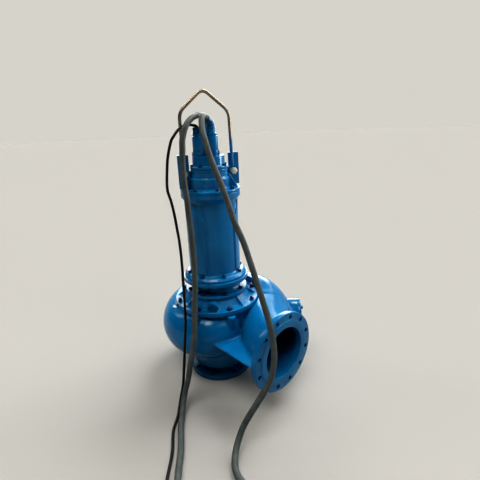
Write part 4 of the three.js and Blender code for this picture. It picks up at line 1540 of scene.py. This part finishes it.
CABLES = (
    Cable(
        name="control", radius=0.0065, sheath=CONTROL_SHEATH, entry=(-0.015, -0.042), lugs=(100, 220),
        collar=0.0265, mouth=0.008, knee=0.8, tip=(-0.020, -0.062, 1.330), sleeve=(0.009, 0.0075),
        route=(
            (-0.027, -0.079, 1.333), (-0.027, -0.097, 1.332), (-0.025, -0.112, 1.329),
            (-0.024, -0.134, 1.320), (-0.024, -0.151, 1.308), (-0.029, -0.176, 1.279),
            (-0.032, -0.182, 1.269), (-0.037, -0.206, 1.197), (-0.036, -0.218, 1.138),
            (-0.034, -0.228, 1.047), (-0.022, -0.223, 0.995), (-0.009, -0.221, 0.939),
            (0.008, -0.224, 0.869), (0.026, -0.229, 0.799), (0.051, -0.243, 0.697),
            (0.067, -0.256, 0.628), (0.091, -0.274, 0.538), (0.112, -0.293, 0.446),
            (0.126, -0.323, 0.301), (0.129, -0.340, 0.198), (0.122, -0.350, 0.111),
            (0.117, -0.368, 0.038), (0.134, -0.391, 0.011), (0.174, -0.428, 0.0071),
            (0.226, -0.486, 0.0071), (0.323, -0.557, 0.0071), (0.412, -0.640, 0.0071),
        ),
        coil_centre=(0.471, -0.805), coil_mean=0.078, coil_wide=4, coil_high=5, coil_meets=78.75,
        coil_runs=-1,
    ),
    Cable(
        name="power_a", radius=0.0135, sheath=POWER_SHEATH, entry=(-0.042, 0.026), lugs=(70, 265),
        collar=0.021, tip=(-0.040, 0.011, 1.359), sleeve=(0.02, 0.015),
        route=(
            (-0.031, -0.010, 1.374), (-0.021, -0.035, 1.376), (-0.014, -0.042, 1.373),
            (0.003, -0.067, 1.369), (0.027, -0.106, 1.358), (0.045, -0.152, 1.326),
            (0.051, -0.179, 1.271), (0.057, -0.188, 1.227), (0.059, -0.194, 1.184),
            (0.066, -0.200, 1.097), (0.075, -0.199, 1.007), (0.078, -0.200, 0.961),
            (0.087, -0.200, 0.868), (0.092, -0.202, 0.821), (0.104, -0.209, 0.726),
            (0.119, -0.223, 0.633), (0.135, -0.244, 0.541), (0.152, -0.268, 0.451),
            (0.167, -0.291, 0.360), (0.170, -0.305, 0.313), (0.169, -0.320, 0.265),
            (0.155, -0.339, 0.154), (0.148, -0.358, 0.090), (0.165, -0.386, 0.044),
            (0.199, -0.420, 0.018), (0.245, -0.458, 0.0141), (0.344, -0.527, 0.0141),
            (0.419, -0.590, 0.0141), (0.489, -0.648, 0.0141), (0.554, -0.712, 0.0141),
        ),
        coil_centre=(0.795, -0.655), coil_mean=0.162, coil_wide=3, coil_high=3, coil_meets=225,
        coil_runs=1,
    ),
    Cable(
        name="power_b", radius=0.0135, sheath=POWER_SHEATH, entry=(0.020, 0.012), lugs=(50, 255),
        collar=0.021, tip=(0.023, -0.011, 1.358), sleeve=(0.02, 0.015),
        route=(
            (0.038, -0.046, 1.370), (0.073, -0.073, 1.368), (0.107, -0.108, 1.358),
            (0.147, -0.139, 1.299), (0.172, -0.147, 1.259), (0.190, -0.149, 1.218),
            (0.207, -0.148, 1.181), (0.227, -0.147, 1.140), (0.246, -0.144, 1.100),
            (0.281, -0.137, 1.017), (0.309, -0.131, 0.935), (0.350, -0.122, 0.852),
            (0.387, -0.121, 0.770), (0.424, -0.123, 0.689), (0.461, -0.125, 0.608),
            (0.497, -0.128, 0.527), (0.528, -0.137, 0.447), (0.549, -0.155, 0.368),
            (0.556, -0.188, 0.290), (0.541, -0.244, 0.213), (0.528, -0.282, 0.162),
            (0.511, -0.317, 0.097), (0.522, -0.365, 0.044), (0.549, -0.403, 0.020),
            (0.586, -0.431, 0.0141), (0.630, -0.443, 0.0141), (0.695, -0.434, 0.0141),
            (0.763, -0.398, 0.0141), (0.825, -0.338, 0.0141), (0.882, -0.257, 0.0141),
            (0.943, -0.187, 0.0141), (1.005, -0.150, 0.0141),
        ),
        coil_centre=(1.098, -0.361), coil_mean=0.162, coil_wide=3, coil_high=3, coil_meets=90,
        coil_runs=-1,
    ),
)


@dataclass(frozen=True)
class Camera:
    """Where the picture is taken from, round the pump shaft."""

    azimuth: float = -38.6
    distance: float = 1.7787
    height: float = 1.3083
    yaw: float = 4.474
    pitch: float = 17.599
    roll: float = -2.387
    lens: float = 26.42
    sensor: float = 36.0

    def build(self) -> None:
        """Make the camera, turned from the shaft to its right by the yaw, down and then rolled."""
        data = bpy.data.cameras.new("camera")
        data.lens = self.lens
        data.sensor_width = self.sensor
        made = linked("camera", data)
        place = Vector(polar(self.distance, self.azimuth, self.height) + SHAFT)
        turn, tip, roll = (Matrix.Rotation(math.radians(angle), 4, axis) for angle, axis in (
            (self.azimuth + 90 - self.yaw, "Z"), (90 - self.pitch, "X"), (self.roll, "Z")))
        made.matrix_world = Matrix.Translation(place) @ turn @ tip @ roll
        bpy.context.scene.camera = made


@dataclass(frozen=True)
class Pane:
    """One soft window of light, far away in a direction round the shaft.

    azimuth and height say where its middle is, half_width and half_tall how far it reaches, and
    edge how softly it ends.
    """

    azimuth: float
    height: float
    half_width: float
    half_tall: float
    strength: float
    edge: float = 4.0

    def glow(self, tree: Tree, way: Socket) -> Socket:
        """Return the light it gives along a direction.

        With the direction's parts right, up and out in the pane's own axes, it is the strength times
        (1 - S(|right / out|)) (1 - S(|up / out|)), where S rises smoothly over the edge, and 0 behind.

        Args:
            tree: the world's node tree.
            way: the direction.

        Returns:
            The light.
        """
        rise = math.radians(self.height)
        out = polar(math.cos(rise), self.azimuth, math.sin(rise))
        right = polar(1.0, self.azimuth - 90)
        across, up, ahead = (
            add_node(tree, "ShaderNodeVectorMath", {0: way, 1: tuple(axis)}, "Value", operation="DOT_PRODUCT")
            for axis in (right, np.cross(right, out), out))
        light = add_node(tree, "ShaderNodeMath", {0: ahead, 1: 0.0}, operation="GREATER_THAN")
        for part, half in ((across, self.half_width), (up, self.half_tall)):
            slope = add_node(tree, "ShaderNodeMath", {0: part, 1: ahead}, operation="DIVIDE")
            off = add_node(tree, "ShaderNodeMath", {0: slope}, operation="ABSOLUTE")
            inner, outer = (math.tan(math.radians(angle)) for angle in (half - self.edge, half))
            share = add_node(tree, "ShaderNodeMapRange", {
                "Value": off, "From Min": inner, "From Max": outer, "To Min": 1.0, "To Max": 0.0,
            }, interpolation_type="SMOOTHSTEP")
            light = add_node(tree, "ShaderNodeMath", {0: light, 1: share}, operation="MULTIPLY")
        return add_node(tree, "ShaderNodeMath", {0: light, 1: self.strength}, operation="MULTIPLY")


@dataclass(frozen=True)
class Studio:
    """Plain pale floor under soft light from the right and the back.

    strip_place is the strip's distance from the shaft, azimuth and height, strip_size its width and
    length, and strip_aim the height on the shaft that it faces.
    """

    reach: float = 90.0
    floor: str = "#959493"
    air: str = "#e0ded6"
    bright_side: float = 105.0
    turn: Pair = (-0.3, 0.5)
    dim: float = 0.02
    full: float = 0.6
    backdrop: float = 0.673
    day_power: float = 1.5
    day_azimuth: float = 100.0
    day_height: float = 60.0
    day_spread: float = 20.0
    strip_power: float = 1.5
    strip_size: Pair = (0.35, 1.0)
    strip_spread: float = 36.0
    strip_place: Spot = (2.3, 58.0, 1.55)
    strip_aim: float = 1.10
    panes: tuple[Pane, ...] = (
        Pane(140.0, 18.0, 23.0, 16.0, 8.0),
        Pane(76.0, 38.0, 15.0, 15.0, 8.0),
        Pane(-70.0, 66.0, 18.0, 12.0, 13.0),
        Pane(6.0, 40.0, 12.0, 10.0, 3.0),
        Pane(-150.0, 42.0, 6.0, 14.0, 7.0),
    )

    def lamp(self, data: bpy.types.Light, power: float, way: np.ndarray) -> Object:
        """Put a light in the scene.

        Args:
            data: the light.
            power: its energy.
            way: where it shines.

        Returns:
            Its object.
        """
        data.energy = power
        made = linked(data.name, data)
        made.rotation_euler = Vector(way).to_track_quat("-Z", "Y").to_euler()
        return made

    def strip(self) -> None:
        """Make the upright strip light that grazes the pump's top from the right."""
        data = bpy.data.lights.new("strip", "AREA")
        data.shape = "RECTANGLE"
        data.size, data.size_y = self.strip_size
        data.spread = math.radians(self.strip_spread)
        place = polar(*self.strip_place)
        self.lamp(data, self.strip_power, [0, 0, self.strip_aim] - place).location = place + SHAFT

    def day(self) -> None:
        """Make the even daylight that falls from one side."""
        data = bpy.data.lights.new("daylight", "SUN")
        data.angle = math.radians(self.day_spread)
        rise = math.tan(math.radians(self.day_height))
        self.lamp(data, self.day_power, -polar(1.0, self.day_azimuth, rise))

    def sky(self) -> None:
        """Make the air and its panes.

        Its light rises smoothly from dim to full as the cosine of the angle to the bright side goes
        through the turn. Behind the object it is one plain pale tone from every side.
        """
        world = bpy.data.worlds.new("air")
        world.use_nodes = True
        tree = world.node_tree
        tree.nodes.clear()
        way = add_node(tree, "ShaderNodeTexCoord", output="Generated")
        side = add_node(tree, "ShaderNodeVectorMath", {0: way, 1: tuple(polar(1.0, self.bright_side))},
                        "Value", operation="DOT_PRODUCT")
        dark, bright = self.turn
        light = add_node(tree, "ShaderNodeMapRange", {
            "Value": side, "From Min": dark, "From Max": bright, "To Min": self.dim, "To Max": self.full,
        }, interpolation_type="SMOOTHSTEP")
        for pane in self.panes:
            light = add_node(tree, "ShaderNodeMath", {0: light, 1: pane.glow(tree, way)}, operation="ADD")
        seen = add_node(tree, "ShaderNodeLightPath", output="Is Camera Ray")
        strength = add_node(tree, "ShaderNodeMix", {0: seen, 2: light, 3: self.backdrop})
        glow = add_node(tree, "ShaderNodeBackground", {"Color": linear(self.air), "Strength": strength})
        add_node(tree, "ShaderNodeOutputWorld", {"Surface": glow})
        bpy.context.scene.world = world

    def ground(self) -> None:
        """Make the floor."""
        half = self.reach
        corners = [(-half, -half, 0), (half, -half, 0), (half, half, 0), (-half, half, 0)]
        mesh = bpy.data.meshes.new("floor")
        mesh.from_pydata(corners, [], [(0, 1, 2, 3)])
        floor = linked("floor", mesh)
        paint = bpy.data.materials.new("pale_floor")
        paint.use_nodes = True
        paint.node_tree.nodes.clear()
        matt = add_node(paint.node_tree, "ShaderNodeBsdfPrincipled", {
            "Base Color": linear(self.floor), "Roughness": 1.0, "Specular IOR Level": 0.0,
        })
        add_node(paint.node_tree, "ShaderNodeOutputMaterial", {"Surface": matt})
        mesh.materials.append(paint)

    def build(self) -> None:
        """Make the floor, the air and the lights."""
        self.ground()
        self.sky()
        self.day()
        self.strip()
        view = bpy.context.scene.view_settings
        view.view_transform = "Standard"
        view.look = "High Contrast"


def main() -> None:
    """Make the camera, the studio and the whole pump, with its cables."""
    logging.basicConfig(level=logging.INFO, format="%(message)s")
    Camera().build()
    for cable in CABLES:
        cable.cord()
    Studio().build()
    for cable in CABLES:
        cable.fittings()
    for assembly in (Volute(), Screw(), Cover(), SealHousing(), Motor(), Crown(), Bail()):
        assembly.build()


if __name__ == "__main__":
    main()
